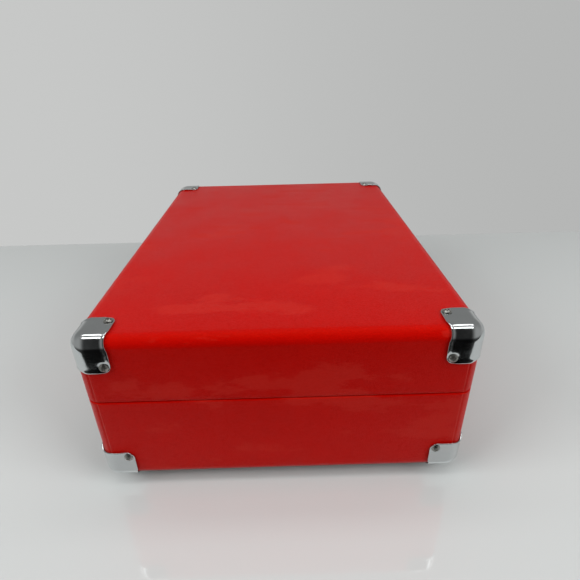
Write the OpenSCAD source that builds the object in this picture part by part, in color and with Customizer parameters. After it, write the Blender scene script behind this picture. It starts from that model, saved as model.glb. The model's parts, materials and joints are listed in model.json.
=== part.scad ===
// Suitcase record player, closed, standing flat on its four rubber feet.
// +Z is up, +X runs along the case from its left end to its right, and the handle faces -Y.
// The origin is the middle of the whole object's footprint, on the surface that it stands on.
// Every module is drawn in the case's own frame, whose origin is under the middle of the wooden
// case, and place() carries it to the object's frame.

/* [Case] */
// Length of the wooden case, left to right
body_w = 350; // [346:2:380]
// Depth of the wooden case, front to back
body_d = 254; // [252:2:274]
// Height of the lower half of the case, without its feet
base_h = 69; // [69:1:76]
// Height of the lid
lid_h = 49; // [49:1:60]
// Height of the rubber feet under the case
foot_h = 9; // [8:0.5:12]
// Thickness of the wooden walls
wall_t = 8; // [7:0.5:9]
// Thickness of the lid's top board
top_t = 6; // [5:0.5:7]
// Gap between the lid and the lower half
seam_gap = 0.8; // [0.6:0.1:1.2]

/* [Corner caps] */
// Reach of a corner cap's flanges from the corner
cap_reach = 24.3; // [23.5:0.1:25]
// Thickness of the chromed sheet
cap_t = 1; // [0.8:0.1:1.2]
// Distance of a cap's screws from the case's edges
cap_screw = 20; // [19.5:0.1:20.3]

/* [Turntable] */
// Radius of the platter
platter_r = 98; // [94:1:100]
// Height of the felt mat's top above the deck
mat_top = 9.5; // [9.3:0.1:9.8]
// Radius of the spindle
spindle_r = 3.55; // [3.5:0.01:3.6]
// Radius of the rim that the belt runs on
drive_r = 70; // [66:1:72]
// Radius of the motor's pulley
pulley_r = 5.5; // [5:0.1:6]

/* [Tonearm] */
// Distance from the tonearm's pivot to the stylus tip
arm_l = 190; // [186:1:191]
// Height of the tonearm's pivot above the deck
arm_h = 24; // [23.5:0.1:24.2]
// Height of the stylus tip above the mat, which is a record's thickness
tip_gap = 1.9; // [1.5:0.1:2.2]

/* [Hidden] */
$fn = 64;
eps = 0.01;

// Levels above the surface that the object stands on
seam_z = foot_h + base_h;
top_z = seam_z + lid_h;
panel_t = 4;
panel_z = foot_h + panel_t;
deck_z = seam_z - 8;
deck_t = 2.5;
arm_z = deck_z + arm_h;
mat_z = deck_z + mat_top;

// Case details
edge_r = 8;
corner_r = 11;
front_y = -body_d / 2;
rear_y = body_d / 2;
in_w = body_w - 2 * wall_t;
in_d = body_d - 2 * wall_t;
cap_gap = 0.05;
cap_ear_r = 5.5;
scoop_r = 26;
scoop_depth = 1.3;
block_w = 22;
foot_x = body_w / 2 - 43;
foot_y = body_d / 2 - 37;
panel_screw_x = body_w / 2 - 27;
panel_screw_y = body_d / 2 - 27;

// Screws: head radius, head height, shank radius and shank length
wood_screw = [3, 1.5, 1.4, 6];
small_screw = [2, 1, 1, 4.5];
deck_screw = [2.6, 1.2, 1.3, 8];

// Hinges
hinge_x = 115;
hinge_out = 4;
hinge_r = 3;
hinge_pin_r = 1.25;
hinge_w = 36;
leaf_t = 1.2;
leaf_h = 16.5;

// Handle
handle_x = 50;
handle_out = 8;
handle_z = foot_h + 37;
handle_drop = 27;
grip_r = 7;
handle_pin_r = 1.5;

// Latches
latch_x = 112;
latch_plate_t = 1.2;
latch_out = 4.2;
latch_axis_z = seam_z + 5;
latch_knuckle_r = 2.6;
latch_pin_r = 1;
hasp_w = 20;
hasp_t = 1.4;
hasp_low = seam_z - 21;
catch_z = seam_z - 12;

// Speakers in the front wall
speaker_x = 105;
speaker_z = foot_h + 24.5;
speaker_r = 20;
grille_w = 82;
grille_h = 38;
grille_sink = 1.5;
grille_t = 2.2;

// Turntable
spin_x = -26;
spin_y = -2;
well_r = platter_r + 6;
well_z = deck_z - 5.5;
platter_t = 4;
platter_top = mat_z - 1.5;
shaft_r = spindle_r + 0.4;
motor_reach = drive_r + 14;
motor_x = spin_x - motor_reach * cos(45);
motor_y = spin_y + motor_reach * sin(45);
belt_t = 0.8;
belt_gap = 0.05;

// Tonearm and its furniture
arm_x = 130;
arm_y = 84;
tube_r = 3.6;
rest_y = arm_y - 130;
clip_x = arm_x + 6.5;
cue_r = 34;
cue_x = 156;
cue_y = 62;

// Controls in a column beside the tonearm
knob_x = 153;
light_x = 139;
light_y = -74;
volume_y = -88;
function_y = -60;
speed_y = -33;
stop_y = -6;

// Electronics
board_x = -70;
board_y = 92;
board_z = panel_z + 7;
jack_x = -60;
jack_z = foot_h + 30;
jack_plate_t = 1.5;
jack_screw_x = 33;
phono_reach = 9.5;
phono_x = [8, 22];
socket_x = [-8, -22];
socket_r = [1.8, 2.8];

// The case sits behind the origin by this much, so that the origin is the middle of the object
case_y = (handle_out + grip_r - phono_reach) / 2;

module place() {
    translate([0, case_y, 0]) children();
}

// ---------- shared shapes ----------

// Rectangle with rounded corners, centred
module round_rect(w, h, r) {
    square([w - 2 * r, h], center = true);
    square([w, h - 2 * r], center = true);
    for (x = [-1, 1], y = [-1, 1])
        translate([x * (w / 2 - r), y * (h / 2 - r)]) circle(r);
}

// Round-cornered plate lying on z = 0
module plate(w, h, t, r) {
    linear_extrude(t) round_rect(w, h, r);
}

// Carries a shape drawn on z = 0 to the front face, with its +z pointing out to -Y
module on_front(x, z, out = 0) {
    translate([x, front_y - out, z]) rotate([90, 0, 0]) children();
}

// Carries a shape drawn on z = 0 to the rear face, with its +z pointing out to +Y
module on_rear(x, z, out = 0) {
    translate([x, rear_y + out, z]) rotate([90, 0, 180]) children();
}

// Cylinder along X, centred
module bar_x(r, l) {
    rotate([0, 90, 0]) cylinder(r = r, h = l, center = true);
}

// Domed cross-head screw: the head lies on z = 0 and the shank goes down
module screw(size) {
    head_r = size[0];
    head_h = size[1];
    dome_r = (head_r * head_r + head_h * head_h) / (2 * head_h);
    difference() {
        union() {
            intersection() {
                translate([0, 0, head_h - dome_r]) sphere(r = dome_r);
                cylinder(r = head_r, h = head_h + 1);
            }
            translate([0, 0, -size[3]]) cylinder(r = size[2], h = size[3] + head_h / 3);
        }
        for (a = [0, 90]) rotate(a)
            translate([-head_r / 2, -head_r / 9, head_h * 0.55]) cube([head_r, head_r / 4.5, head_h]);
    }
}

// The outside of the whole case with every edge rounded, grown by g
module case_outside(g = 0) {
    w = body_w + 2 * g;
    d = body_d + 2 * g;
    h = base_h + lid_h + 2 * g;
    translate([0, 0, foot_h + h / 2 - g]) intersection() {
        linear_extrude(h, center = true) round_rect(w, d, corner_r + g);
        rotate([90, 0, 0]) linear_extrude(d, center = true) round_rect(w, h, edge_r + g);
        rotate([90, 0, 90]) linear_extrude(w, center = true) round_rect(d, h, edge_r + g);
    }
}

// ---------- case ----------

// Wooden frame of the lower half: four walls and four corner blocks
module base_case() {
    color("firebrick") difference() {
        union() {
            difference() {
                case_outside();
                translate([0, 0, seam_z - seam_gap / 2 + 100])
                    cube([body_w + 10, body_d + 10, 200], center = true);
                translate([-in_w / 2, -in_d / 2, foot_h - 1]) cube([in_w, in_d, base_h + 2]);
            }
            for (x = [-1, 1], y = [-1, 1])
                translate([x * (in_w - block_w) / 2, y * (in_d - block_w) / 2,
                    (panel_z + deck_z - deck_t) / 2])
                    cube([block_w + eps, block_w + eps, deck_z - deck_t - panel_z], center = true);
        }
        for (x = [-1, 1]) on_front(x * speaker_x, speaker_z, -grille_sink) {
            plate(grille_w + 0.4, grille_h + 0.4, 5, 3.2);
            translate([0, 0, -wall_t]) cylinder(r = speaker_r - 3, h = wall_t + 1);
        }
        on_rear(jack_x, jack_z, -wall_t - 1) plate(58, 16, wall_t + 2, 2);
    }
}

// Hardboard bottom set between the walls
module bottom_panel() {
    color("dimgray") translate([0, 0, foot_h])
        linear_extrude(panel_t) square([in_w - 0.6, in_d - 0.6], center = true);
}

// Tapered rubber feet, each with a recess for its screw
module rubber_feet() {
    color("black") for (x = [-1, 1], y = [-1, 1])
        translate([x * foot_x, y * foot_y, 0]) difference() {
            cylinder(r1 = 8, r2 = 9.5, h = foot_h);
            translate([0, 0, -1]) cylinder(r = 3.6, h = 5);
            cylinder(r = 1.6, h = foot_h + 1);
        }
}

// Wooden lid: a top board and four walls
module lid_case() {
    color("firebrick") difference() {
        case_outside();
        translate([0, 0, seam_z + seam_gap / 2 - 100])
            cube([body_w + 10, body_d + 10, 200], center = true);
        translate([-in_w / 2, -in_d / 2, seam_z - 1]) cube([in_w, in_d, lid_h - top_t + 1]);
    }
}

// Thin card tray that lines the lid
module lid_liner() {
    t = 1.2;
    w = in_w - 0.04;
    d = in_d - 0.04;
    low = seam_z + 1.5;
    h = top_z - top_t - 0.02 - low;
    color("black") translate([0, 0, low]) difference() {
        linear_extrude(h) square([w, d], center = true);
        translate([0, 0, -t]) linear_extrude(h) square([w - 2 * t, d - 2 * t], center = true);
    }
}

// ---------- corner caps ----------

// Part of space that a cap covers. The corner is the origin and the case lies towards -x, -y, -z
module cap_region() {
    over = 5;
    s = cap_reach;
    module ear() {
        translate([cap_ear_r - s, -s]) square([s - cap_ear_r + over, s + over]);
        translate([-s, cap_ear_r - s]) square([s + over, s - cap_ear_r + over]);
        translate([cap_ear_r - s, cap_ear_r - s]) circle(cap_ear_r);
    }
    difference() {
        intersection() {
            translate([0, 0, -s - 1]) linear_extrude(s + 1 + over) ear();
            rotate([90, 0, 0]) translate([0, 0, -over]) linear_extrude(s + 1 + over) ear();
            rotate([90, 0, 90]) translate([0, 0, -s - 1]) linear_extrude(s + 1 + over) ear();
        }
        for (a = [[1, 0, 0], [0, 1, 0], [0, 0, 1]])
            translate(-(s - scoop_depth + scoop_r) * a) sphere(r = scoop_r);
    }
}

// Puts a shape drawn at the right, rear, top corner on the corner with signs sx, sy, sz
module at_corner(sx, sy, sz) {
    mid = foot_h + (base_h + lid_h) / 2;
    translate([0, 0, mid]) mirror([sx < 0 ? 1 : 0, 0, 0]) mirror([0, sy < 0 ? 1 : 0, 0])
        mirror([0, 0, sz < 0 ? 1 : 0]) translate([0, 0, -mid]) children();
}

// Centres of a cap's three screws, with the turn that makes each point outwards
cap_screws = [
    [[body_w / 2 - cap_screw, body_d / 2 - cap_screw, top_z], [0, 0, 0]],
    [[body_w / 2 - cap_screw, body_d / 2, top_z - cap_screw], [-90, 0, 0]],
    [[body_w / 2, body_d / 2 - cap_screw, top_z - cap_screw], [0, 90, 0]]];

// Chromed cap of three flanges drawn at the right, rear, top corner
module cap() {
    color("silver") difference() {
        intersection() {
            case_outside(cap_gap + cap_t);
            translate([body_w / 2, body_d / 2, top_z]) cap_region();
        }
        case_outside(cap_gap);
        for (s = cap_screws) translate(s[0]) rotate(s[1])
            translate([0, 0, -2]) cylinder(r = wood_screw[2] + 0.15, h = 6);
    }
}

// A cap's screws drawn at the right, rear, top corner
module cap_screw_set() {
    for (s = cap_screws) translate(s[0]) rotate(s[1])
        translate([0, 0, cap_gap + cap_t + 0.02]) screw(wood_screw);
}

// ---------- screws that hold the outside fittings ----------

module lid_screws() {
    color("gainsboro") {
        for (x = [-1, 1], y = [-1, 1]) at_corner(x, y, 1) cap_screw_set();
        for (x = [-1, 1], u = [-11, 11])
            on_rear(x * hinge_x + u, seam_z + 12.5, leaf_t + 0.02) screw(small_screw);
        for (x = [-1, 1], u = [-8, 8])
            on_front(x * latch_x + u, seam_z + 16, latch_plate_t + 0.02) screw(small_screw);
    }
}

module base_screws() {
    color("gainsboro") {
        for (x = [-1, 1], y = [-1, 1]) at_corner(x, y, -1) cap_screw_set();
        for (x = [-1, 1], u = [-11, 11])
            on_rear(x * hinge_x + u, seam_z - 12.5, leaf_t + 0.02) screw(small_screw);
        for (x = [-1, 1], u = [-8.5, 8.5])
            on_front(x * handle_x + u, handle_z + 8.5, latch_plate_t + 0.02) screw(small_screw);
        for (x = [-1, 1], u = [-8.5, 8.5])
            on_front(x * handle_x + u, handle_z - 8.5, latch_plate_t + 0.02) screw(small_screw);
        for (x = [-1, 1], u = [[-9.7, -19.4], [-9.7, -4.6], [32.5, -19.4], [32.5, -4.6]])
            on_front(x * (latch_x + u[0]), seam_z + u[1], latch_plate_t + 0.02) screw([1.4, 0.8, 0.8, 4.5]);
        for (x = [-1, 1], y = [-1, 1])
            translate([x * foot_x, y * foot_y, 4]) rotate([180, 0, 0]) screw([3, 1.5, 1.4, 8.5]);
        for (x = [-1, 1], y = [-1, 1])
            translate([x * panel_screw_x, y * panel_screw_y, foot_h]) rotate([180, 0, 0])
                screw(deck_screw);
        for (x = [-1, 1]) on_rear(jack_x + x * jack_screw_x, jack_z, jack_plate_t + 0.02)
            screw(small_screw);
    }
}

// ---------- hinges ----------

// One leaf with its knuckles, at the left or right hinge. Up is 1 for the lid's leaf
module hinge_leaf(up) {
    pitch = hinge_w / 5;
    first = up > 0 ? 1 : 0;
    translate([0, rear_y + hinge_out, seam_z]) difference() {
        union() {
            translate([-hinge_w / 2, -hinge_out, up > 0 ? 3.5 : -3.5 - leaf_h])
                cube([hinge_w, leaf_t, leaf_h]);
            for (i = [first : 2 : 4]) translate([(i - 2) * pitch, 0, 0]) {
                bar_x(hinge_r, pitch - 0.4);
                translate([-(pitch - 0.4) / 2, -hinge_out, up > 0 ? 0.6 : -4])
                    cube([pitch - 0.4, hinge_out - 1, 3.4]);
            }
        }
        bar_x(hinge_pin_r + 0.05, hinge_w + 2);
        for (x = [-11, 11]) translate([x, 0, up * 12.5]) rotate([90, 0, 0])
            cylinder(r = small_screw[2] + 0.15, h = 20, center = true);
    }
}

module hinge_base_leaves() {
    color("silver") for (x = [-1, 1]) translate([x * hinge_x, 0, 0]) hinge_leaf(-1);
}

module hinge_lid_leaves() {
    color("silver") for (x = [-1, 1]) translate([x * hinge_x, 0, 0]) hinge_leaf(1);
}

module hinge_pins() {
    color("gray") for (x = [-1, 1])
        translate([x * hinge_x, rear_y + hinge_out, seam_z]) bar_x(hinge_pin_r, hinge_w + 1);
}

// ---------- handle ----------

// Padded bar with two legs that hang from the brackets
module handle_grip() {
    leg_w = 8;
    color("firebrick") translate([0, front_y - handle_out, handle_z]) difference() {
        union() {
            translate([0, 0, -handle_drop]) bar_x(grip_r, 2 * handle_x + 12);
            for (x = [-1, 1]) translate([x * handle_x, 0, 0]) {
                translate([-leg_w / 2, -3.5, -handle_drop]) cube([leg_w, 7, handle_drop]);
                bar_x(4.2, leg_w);
            }
        }
        for (x = [-1, 1]) translate([x * handle_x, 0, 0]) bar_x(handle_pin_r + 0.05, leg_w + 4);
    }
}

// Plates with two ears each, screwed to the front wall
module handle_brackets() {
    color("silver") for (x = [-1, 1]) difference() {
        union() {
            on_front(x * handle_x, handle_z) plate(25, 25, latch_plate_t, 3);
            for (u = [-1, 1]) translate([x * handle_x + u * 5.3, front_y, handle_z])
                rotate([0, 90, 0]) linear_extrude(1.8, center = true) {
                    translate([-3.6, -handle_out]) square([7.2, handle_out - 0.1]);
                    translate([0, -handle_out]) circle(3.6);
                }
        }
        translate([x * handle_x, front_y - handle_out, handle_z]) bar_x(handle_pin_r + 0.05, 20);
        for (u = [-8.5, 8.5], v = [-8.5, 8.5]) on_front(x * handle_x + u, handle_z + v, -2)
            cylinder(r = small_screw[2] + 0.15, h = 6);
    }
}

module handle_pins() {
    color("gray") for (x = [-1, 1])
        translate([x * handle_x, front_y - handle_out, handle_z]) bar_x(handle_pin_r, 14);
}

// ---------- latches, drawn for the right side with the slider outwards ----------

// Places a right-hand latch shape at the right, or its mirror image at the left
module latch_side(side) {
    mirror([side < 0 ? 1 : 0, 0, 0]) translate([latch_x, front_y, 0]) children();
}

// Box from its limits, with y counted outwards from the front face
module out_box(x, y, z) {
    translate([x[0], -y[1], z[0]]) cube([x[1] - x[0], y[1] - y[0], z[1] - z[0]]);
}

// Plate on the lower half, with a landing for the hasp and two rails for the slider
module latch_base_plate() {
    difference() {
        union() {
            translate([12, 0, catch_z]) rotate([90, 0, 0]) plate(48, 20, latch_plate_t, 2.5);
            out_box([-8, 7], [latch_plate_t - eps, latch_out - hasp_t / 2 - 0.3], [catch_z - 4, catch_z + 8]);
            for (s = [-1, 1]) {
                out_box([11, 30], [latch_plate_t - eps, 4], [catch_z + s * 8.2 - 0.8, catch_z + s * 8.2 + 0.8]);
                out_box([11, 30], [2.8, 4], [catch_z + s * 7.8 - 1.2, catch_z + s * 7.8 + 1.2]);
            }
        }
        for (x = [-9.7, 32.5], z = [-7.4, 7.4]) translate([x, 0, catch_z + z])
            rotate([90, 0, 0]) cylinder(r = 0.95, h = 8, center = true);
    }
}

module latch_base_plates() {
    color("silver") for (s = [-1, 1]) latch_side(s) latch_base_plate();
}

// Thumb slider whose tongue enters the hasp's notch and whose lip then covers its edge
module latch_slider() {
    color("silver") difference() {
        union() {
            out_box([17, 28], [1.5, 2.6], [catch_z - 7.1, catch_z + 7.1]);
            out_box([17, 28], [1.5, 6.6], [catch_z - 6, catch_z + 6]);
            out_box([10.6, 17 + eps], [latch_out - hasp_t / 2, 6.6], [catch_z - 2, catch_z + 2]);
            out_box([10.6, 17 + eps], [latch_out + hasp_t / 2 + 0.3, 6.6], [catch_z - 4, catch_z + 4]);
        }
        for (x = [20, 22.5, 25]) out_box([x - 0.5, x + 0.5], [5.9, 8], [catch_z - 7, catch_z + 7]);
    }
}

// Plate on the lid with the two outer knuckles
module latch_lid_plate() {
    difference() {
        union() {
            translate([0, 0, seam_z + 12]) rotate([90, 0, 0]) plate(24, 19, latch_plate_t, 2.5);
            for (x = [-7.5, 7.5]) {
                translate([x, -latch_out, latch_axis_z]) bar_x(latch_knuckle_r, 5);
                out_box([x - 2.5, x + 2.5], [0, latch_out], [latch_axis_z, latch_axis_z + latch_knuckle_r]);
            }
        }
        translate([0, -latch_out, latch_axis_z]) bar_x(latch_pin_r + 0.05, 30);
        for (x = [-8, 8]) translate([x, 0, seam_z + 16]) rotate([90, 0, 0])
            cylinder(r = small_screw[2] + 0.15, h = 8, center = true);
    }
}

module latch_lid_plates() {
    color("silver") for (s = [-1, 1]) latch_side(s) latch_lid_plate();
}

// Hanging hasp with a side notch for the slider's tongue and a rolled lip at its end
module latch_hasp() {
    leaf = [latch_out - hasp_t / 2, latch_out + hasp_t / 2];
    color("silver") difference() {
        union() {
            translate([0, -latch_out, latch_axis_z]) bar_x(latch_knuckle_r, 9.4);
            out_box([-4.7, 4.7], leaf, [latch_axis_z - 4, latch_axis_z]);
            out_box([-hasp_w / 2, hasp_w / 2], leaf, [hasp_low + 1, latch_axis_z - 3.2]);
            translate([0, -latch_out - 0.9, hasp_low + 1.6]) bar_x(1.6, hasp_w);
        }
        translate([0, -latch_out, latch_axis_z]) bar_x(latch_pin_r + 0.05, 30);
        out_box([4.4, hasp_w / 2 + 1], [0, 9], [catch_z - 2.4, catch_z + 2.4]);
    }
}

module latch_pins() {
    color("gray") for (s = [-1, 1]) latch_side(s)
        translate([0, -latch_out, latch_axis_z]) bar_x(latch_pin_r, 20.6);
}

// ---------- speakers ----------

// Slotted grille set into the front wall
module speaker_grille(side) {
    color("black") on_front(side * speaker_x, speaker_z, -grille_sink) difference() {
        plate(grille_w, grille_h, grille_t, 3);
        for (i = [-4 : 4]) translate([0, i * 3.6, -1]) plate(grille_w - 12, 1.8, grille_t + 2, 0.85);
    }
}

// Carries a speaker's shapes to the inner face of the front wall, with +z pointing inwards
module on_speaker() {
    for (x = [-1, 1]) translate([x * speaker_x, front_y + wall_t, speaker_z]) rotate([-90, 0, 0])
        children();
}

// Steel basket with a rabbet for the cone's edge, and its magnet
module speaker_frames() {
    color("dimgray") on_speaker() {
        difference() {
            union() {
                cylinder(r = speaker_r, h = 1.5);
                cylinder(r1 = speaker_r - 1.5, r2 = 11, h = 12);
            }
            translate([0, 0, -1]) cylinder(r = speaker_r - 2.5, h = 1.8);
            translate([0, 0, 0.8 - eps]) cylinder(r1 = speaker_r - 3.8, r2 = 9.5, h = 10.4);
        }
        translate([0, 0, 12]) cylinder(r = 13, h = 6);
    }
}

// Paper cones with their edges and dust caps
module speaker_cones() {
    rim = speaker_r - 4.4;
    color("black") on_speaker() difference() {
        union() {
            translate([0, 0, 0.1]) cylinder(r = speaker_r - 2.6, h = 0.68);
            translate([0, 0, 0.7]) cylinder(r1 = rim, r2 = 7.5, h = 8);
            translate([0, 0, 7]) cylinder(r = 7.2, h = 3);
        }
        translate([0, 0, -0.1]) cylinder(r1 = rim, r2 = 6.9, h = 8);
    }
}

// ---------- deck ----------

// Moulded top plate with the platter's well, the adapter's peg and the lugs of the cueing lever
module deck_plate() {
    color("dimgray") difference() {
        union() {
            translate([0, 0, deck_z - deck_t]) linear_extrude(deck_t)
                square([in_w - 0.6, in_d - 0.6], center = true);
            translate([spin_x, spin_y, well_z - deck_t]) cylinder(r = well_r + deck_t, h = deck_z - well_z);
            translate([spin_x, spin_y, well_z - 14]) cylinder(r = 8, h = 14);
            translate([-140, -90, deck_z - eps]) cylinder(r = 3.4, h = 5.5);
            for (u = [-4.6, 4.6]) translate([cue_x + u, cue_y, 0]) rotate([0, 90, 0])
                linear_extrude(2, center = true) {
                    translate([-deck_z - 5, 0]) circle(2.8);
                    translate([-deck_z - 5, -2.8]) square([5 + eps, 5.6]);
                }
        }
        translate([spin_x, spin_y, well_z]) cylinder(r = well_r, h = 20);
        translate([spin_x, spin_y, 0]) cylinder(r = shaft_r - 0.01, h = 100);
        translate([motor_x, motor_y, well_z - 10]) cylinder(r = 9, h = 20);
        translate([arm_x, arm_y, deck_z - 10]) cylinder(r = 5, h = 20);
        translate([arm_x - cue_r * sin(22), arm_y - cue_r * cos(22), deck_z - 10])
            cylinder(r = 2.4, h = 20);
        for (y = [volume_y, function_y]) translate([knob_x, y, deck_z - 10]) cylinder(r = 4.2, h = 20);
        for (y = [speed_y, stop_y]) translate([knob_x, y, deck_z - 10]) plate(3, 18, 20, 1.4);
        translate([cue_x, cue_y, deck_z + 5]) bar_x(1.3, 20);
        for (x = [-1, 1], y = [-1, 1])
            translate([x * (in_w - block_w) / 2, y * (in_d - block_w) / 2, deck_z - 10])
                cylinder(r = deck_screw[2] + 0.2, h = 20);
        translate([light_x, light_y, deck_z - 10]) cylinder(r = 1.6, h = 20);
    }
}

module deck_screws() {
    color("gray") for (x = [-1, 1], y = [-1, 1])
        translate([x * (in_w - block_w) / 2, y * (in_d - block_w) / 2, deck_z]) screw(deck_screw);
}

// ---------- turntable ----------

// Platter with a deep outer edge, an inner rim for the belt and a hub that turns on the spindle
module platter() {
    color("black") translate([spin_x, spin_y, 0]) difference() {
        rotate_extrude($fn = 128) {
            translate([shaft_r + 0.05, platter_top - platter_t])
                square([platter_r - shaft_r - 0.05, platter_t]);
            translate([shaft_r + 0.05, well_z + 0.1]) square([6, platter_top - well_z - 1]);
            translate([drive_r - 2.5, well_z + 1]) square([2.5, platter_top - well_z - 2]);
            translate([platter_r - 2, deck_z - 2]) square([2, platter_top - deck_z]);
        }
        translate([0, 0, platter_top - 1]) cylinder(r = 8, h = 2);
        for (a = [0, 180]) rotate(a + 135) translate([motor_reach - 3, 0, platter_top - platter_t - 1])
            cylinder(r = 9, h = platter_t + 2);
    }
}

// Felt mat with a hole over the retaining clip
module slip_mat() {
    color("dimgray") translate([spin_x, spin_y, platter_top]) difference() {
        cylinder(r = platter_r - 2, h = mat_z - platter_top, $fn = 128);
        translate([0, 0, -1]) cylinder(r = 9, h = 4);
    }
}

// Steel shaft pressed into the deck's boss, with the spindle that centres a record on top
module spindle() {
    shaft_l = platter_top - well_z + 13;
    pin_l = mat_z + 7.5 - platter_top;
    color("silver") translate([spin_x, spin_y, well_z - 13]) {
        cylinder(r = shaft_r, h = shaft_l);
        translate([0, 0, shaft_l]) {
            cylinder(r = spindle_r, h = pin_l);
            translate([0, 0, pin_l]) cylinder(r1 = spindle_r, r2 = spindle_r - 1.4, h = 1.8);
        }
    }
}

// Snap ring that keeps the platter on the spindle
module platter_clip() {
    color("gray") translate([spin_x, spin_y, platter_top - 0.9]) difference() {
        cylinder(r = 6.4, h = 0.7);
        translate([0, 0, -1]) cylinder(r = shaft_r - 0.01, h = 3);
        translate([0, -1.4, -1]) cube([10, 2.8, 3]);
    }
}

// Flat belt round the platter's rim and the motor's pulley
module drive_belt() {
    module loop(extra) {
        hull() {
            circle(drive_r + extra, $fn = 144);
            rotate(135) translate([motor_reach, 0]) circle(pulley_r + extra, $fn = 48);
        }
    }
    color("black") translate([spin_x, spin_y, deck_z - 3.5]) linear_extrude(4) difference() {
        loop(belt_gap + belt_t);
        loop(belt_gap + 0.02);
    }
}

// Motor can with its mounting flange, under the well
module motor() {
    color("silver") translate([motor_x, motor_y, well_z - deck_t]) {
        translate([0, 0, -24]) cylinder(r = 16, h = 22);
        translate([0, 0, -2 - eps]) linear_extrude(1.99) {
            round_rect(46, 14, 5);
            circle(16);
        }
        translate([0, 0, -2]) cylinder(r = 1, h = 10.5);
    }
}

// Crowned pulley on the motor's shaft
module motor_pulley() {
    color("gold") translate([motor_x, motor_y, deck_z - 4.8]) difference() {
        union() {
            cylinder(r = pulley_r, h = 6.4);
            cylinder(r = pulley_r + 1.4, h = 1);
            translate([0, 0, 5.6]) cylinder(r = pulley_r + 1.4, h = 1);
        }
        translate([0, 0, -1]) cylinder(r = 1.04, h = 10);
    }
}

// Adapter for records with a large hole, parked on its peg
module adapter_45() {
    color("black") translate([-140, -90, deck_z + 0.2]) difference() {
        union() {
            cylinder(r = 19, h = 2.2);
            cylinder(r = 17.5, h = 4.6);
        }
        translate([0, 0, -1]) cylinder(r = 3.65, h = 8);
        for (a = [0 : 60 : 300]) rotate(a) translate([11.5, 0, -1]) cylinder(r = 3, h = 8);
    }
}

// ---------- tonearm ----------

module tonearm_base() {
    color("black") translate([arm_x, arm_y, deck_z + 0.02]) difference() {
        union() {
            cylinder(r = 19, h = 4);
            cylinder(r = 16, h = 7);
        }
        translate([0, 0, -1]) cylinder(r = 4.05, h = 12);
    }
}

// Turret with a stem that turns in the base, and two ears that carry the arm
module tonearm_yoke() {
    color("dimgray") translate([arm_x, arm_y, deck_z]) difference() {
        union() {
            translate([0, 0, -9]) cylinder(r = 4, h = 17);
            translate([0, 0, 7.3]) cylinder(r = 15, h = 2.7);
            for (u = [-1, 1]) translate([u * 9, 0, 0]) rotate([0, 90, 0])
                linear_extrude(2.6, center = true) {
                    translate([-arm_h, 0]) circle(4.5);
                    translate([-arm_h, -4.5]) square([arm_h - 9, 9]);
                }
        }
        translate([0, 0, arm_h]) bar_x(1.25, 30);
    }
}

// Arm with its pivot block, trunnions, counterweight, headshell and finger lift
module tonearm_tube() {
    head_l = 30;
    head_y = arm_l - 14;
    color("black") translate([arm_x, arm_y, arm_z]) {
        bar_x(1.2, 22);
        translate([-7.2, -9, -4.5]) cube([14.4, 18, 9]);
        rotate([90, 0, 0]) cylinder(r = tube_r, h = head_y);
        rotate([-90, 0, 0]) cylinder(r = 3.5, h = 18);
        rotate([-90, 0, 0]) translate([0, 0, 17]) cylinder(r = 7.5, h = 14);
        translate([0, -head_y - head_l / 2 + 8, -2.2]) plate(17, head_l, 5.8, 4);
        translate([7, -arm_l - 3, 0]) linear_extrude(1.2) {
            translate([0, -2.5]) square([6, 5]);
            translate([6, 0]) circle(2.5);
        }
    }
}

// Cartridge under the headshell with its stylus
module cartridge() {
    tip_z = mat_z + tip_gap;
    top = arm_z - 2.25;
    color("red") translate([arm_x, arm_y - arm_l, 0]) {
        translate([-5, -5, tip_z + 2]) cube([10, 18.5, top - tip_z - 2]);
        translate([-1.5, -3.5, tip_z + 1.2]) cube([3, 8, 1]);
        translate([0, 0, tip_z]) cylinder(r1 = 0.25, r2 = 0.6, h = 1.4);
    }
}

// Post with an open cradle: a floor under the tube and one wall outside it
module arm_rest() {
    color("black") translate([arm_x, rest_y, deck_z + 0.02]) difference() {
        union() {
            plate(18, 14, 2, 3);
            translate([0.5, 0, 0]) plate(9, 8, arm_h - tube_r - 0.3, 1.5);
            translate([4.3, -4, 0]) cube([5, 8, arm_h - 2.6]);
            for (v = [-1, 1]) translate([clip_x - arm_x, v * 3 + 0.8, arm_h]) rotate([90, 0, 0])
                cylinder(r = 2.2, h = 1.6);
            for (v = [-1, 1]) translate([clip_x - arm_x - 2.2, v * 3 - 0.8, arm_h - 6])
                cube([4.4, 1.6, 6]);
        }
        translate([clip_x - arm_x, 0, arm_h]) rotate([90, 0, 0])
            cylinder(r = 0.85, h = 20, center = true);
    }
}

// Hook that swings over the tube, drawn standing open
module arm_clip() {
    color("black") translate([clip_x, rest_y, arm_z]) {
        rotate([90, 0, 0]) cylinder(r = 0.8, h = 8.4, center = true);
        rotate([90, 0, 0]) cylinder(r = 2, h = 4, center = true);
        translate([0.2, -2, 0]) cube([5.6, 4, 1.9]);
        translate([4.2, -2, 0]) cube([1.6, 4, 13]);
        translate([-0.5, -2, 11.4]) cube([6.3, 4, 1.6]);
    }
}

// Cueing lever between two lugs of the deck, lying forward
module cue_lever() {
    color("dimgray") translate([cue_x, cue_y, deck_z + 5]) {
        bar_x(1.25, 13);
        bar_x(2.6, 6.4);
        translate([-2, -26, -1]) cube([4, 26, 2]);
        translate([0, -27, -1.4]) plate(8, 10, 2.8, 3);
    }
}

// Curved bar that raises the tonearm, on a rod through the deck
module cue_platform() {
    color("dimgray") translate([arm_x, arm_y, deck_z]) {
        translate([0, 0, arm_h - 6.4]) rotate(-90 - 52) rotate_extrude(angle = 60)
            translate([cue_r - 2.2, 0]) square([4.4, 2.2]);
        rotate(-90 - 22) translate([cue_r, 0, -10]) cylinder(r = 2.2, h = arm_h - 6.3 + 10);
    }
}

// ---------- controls ----------

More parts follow.
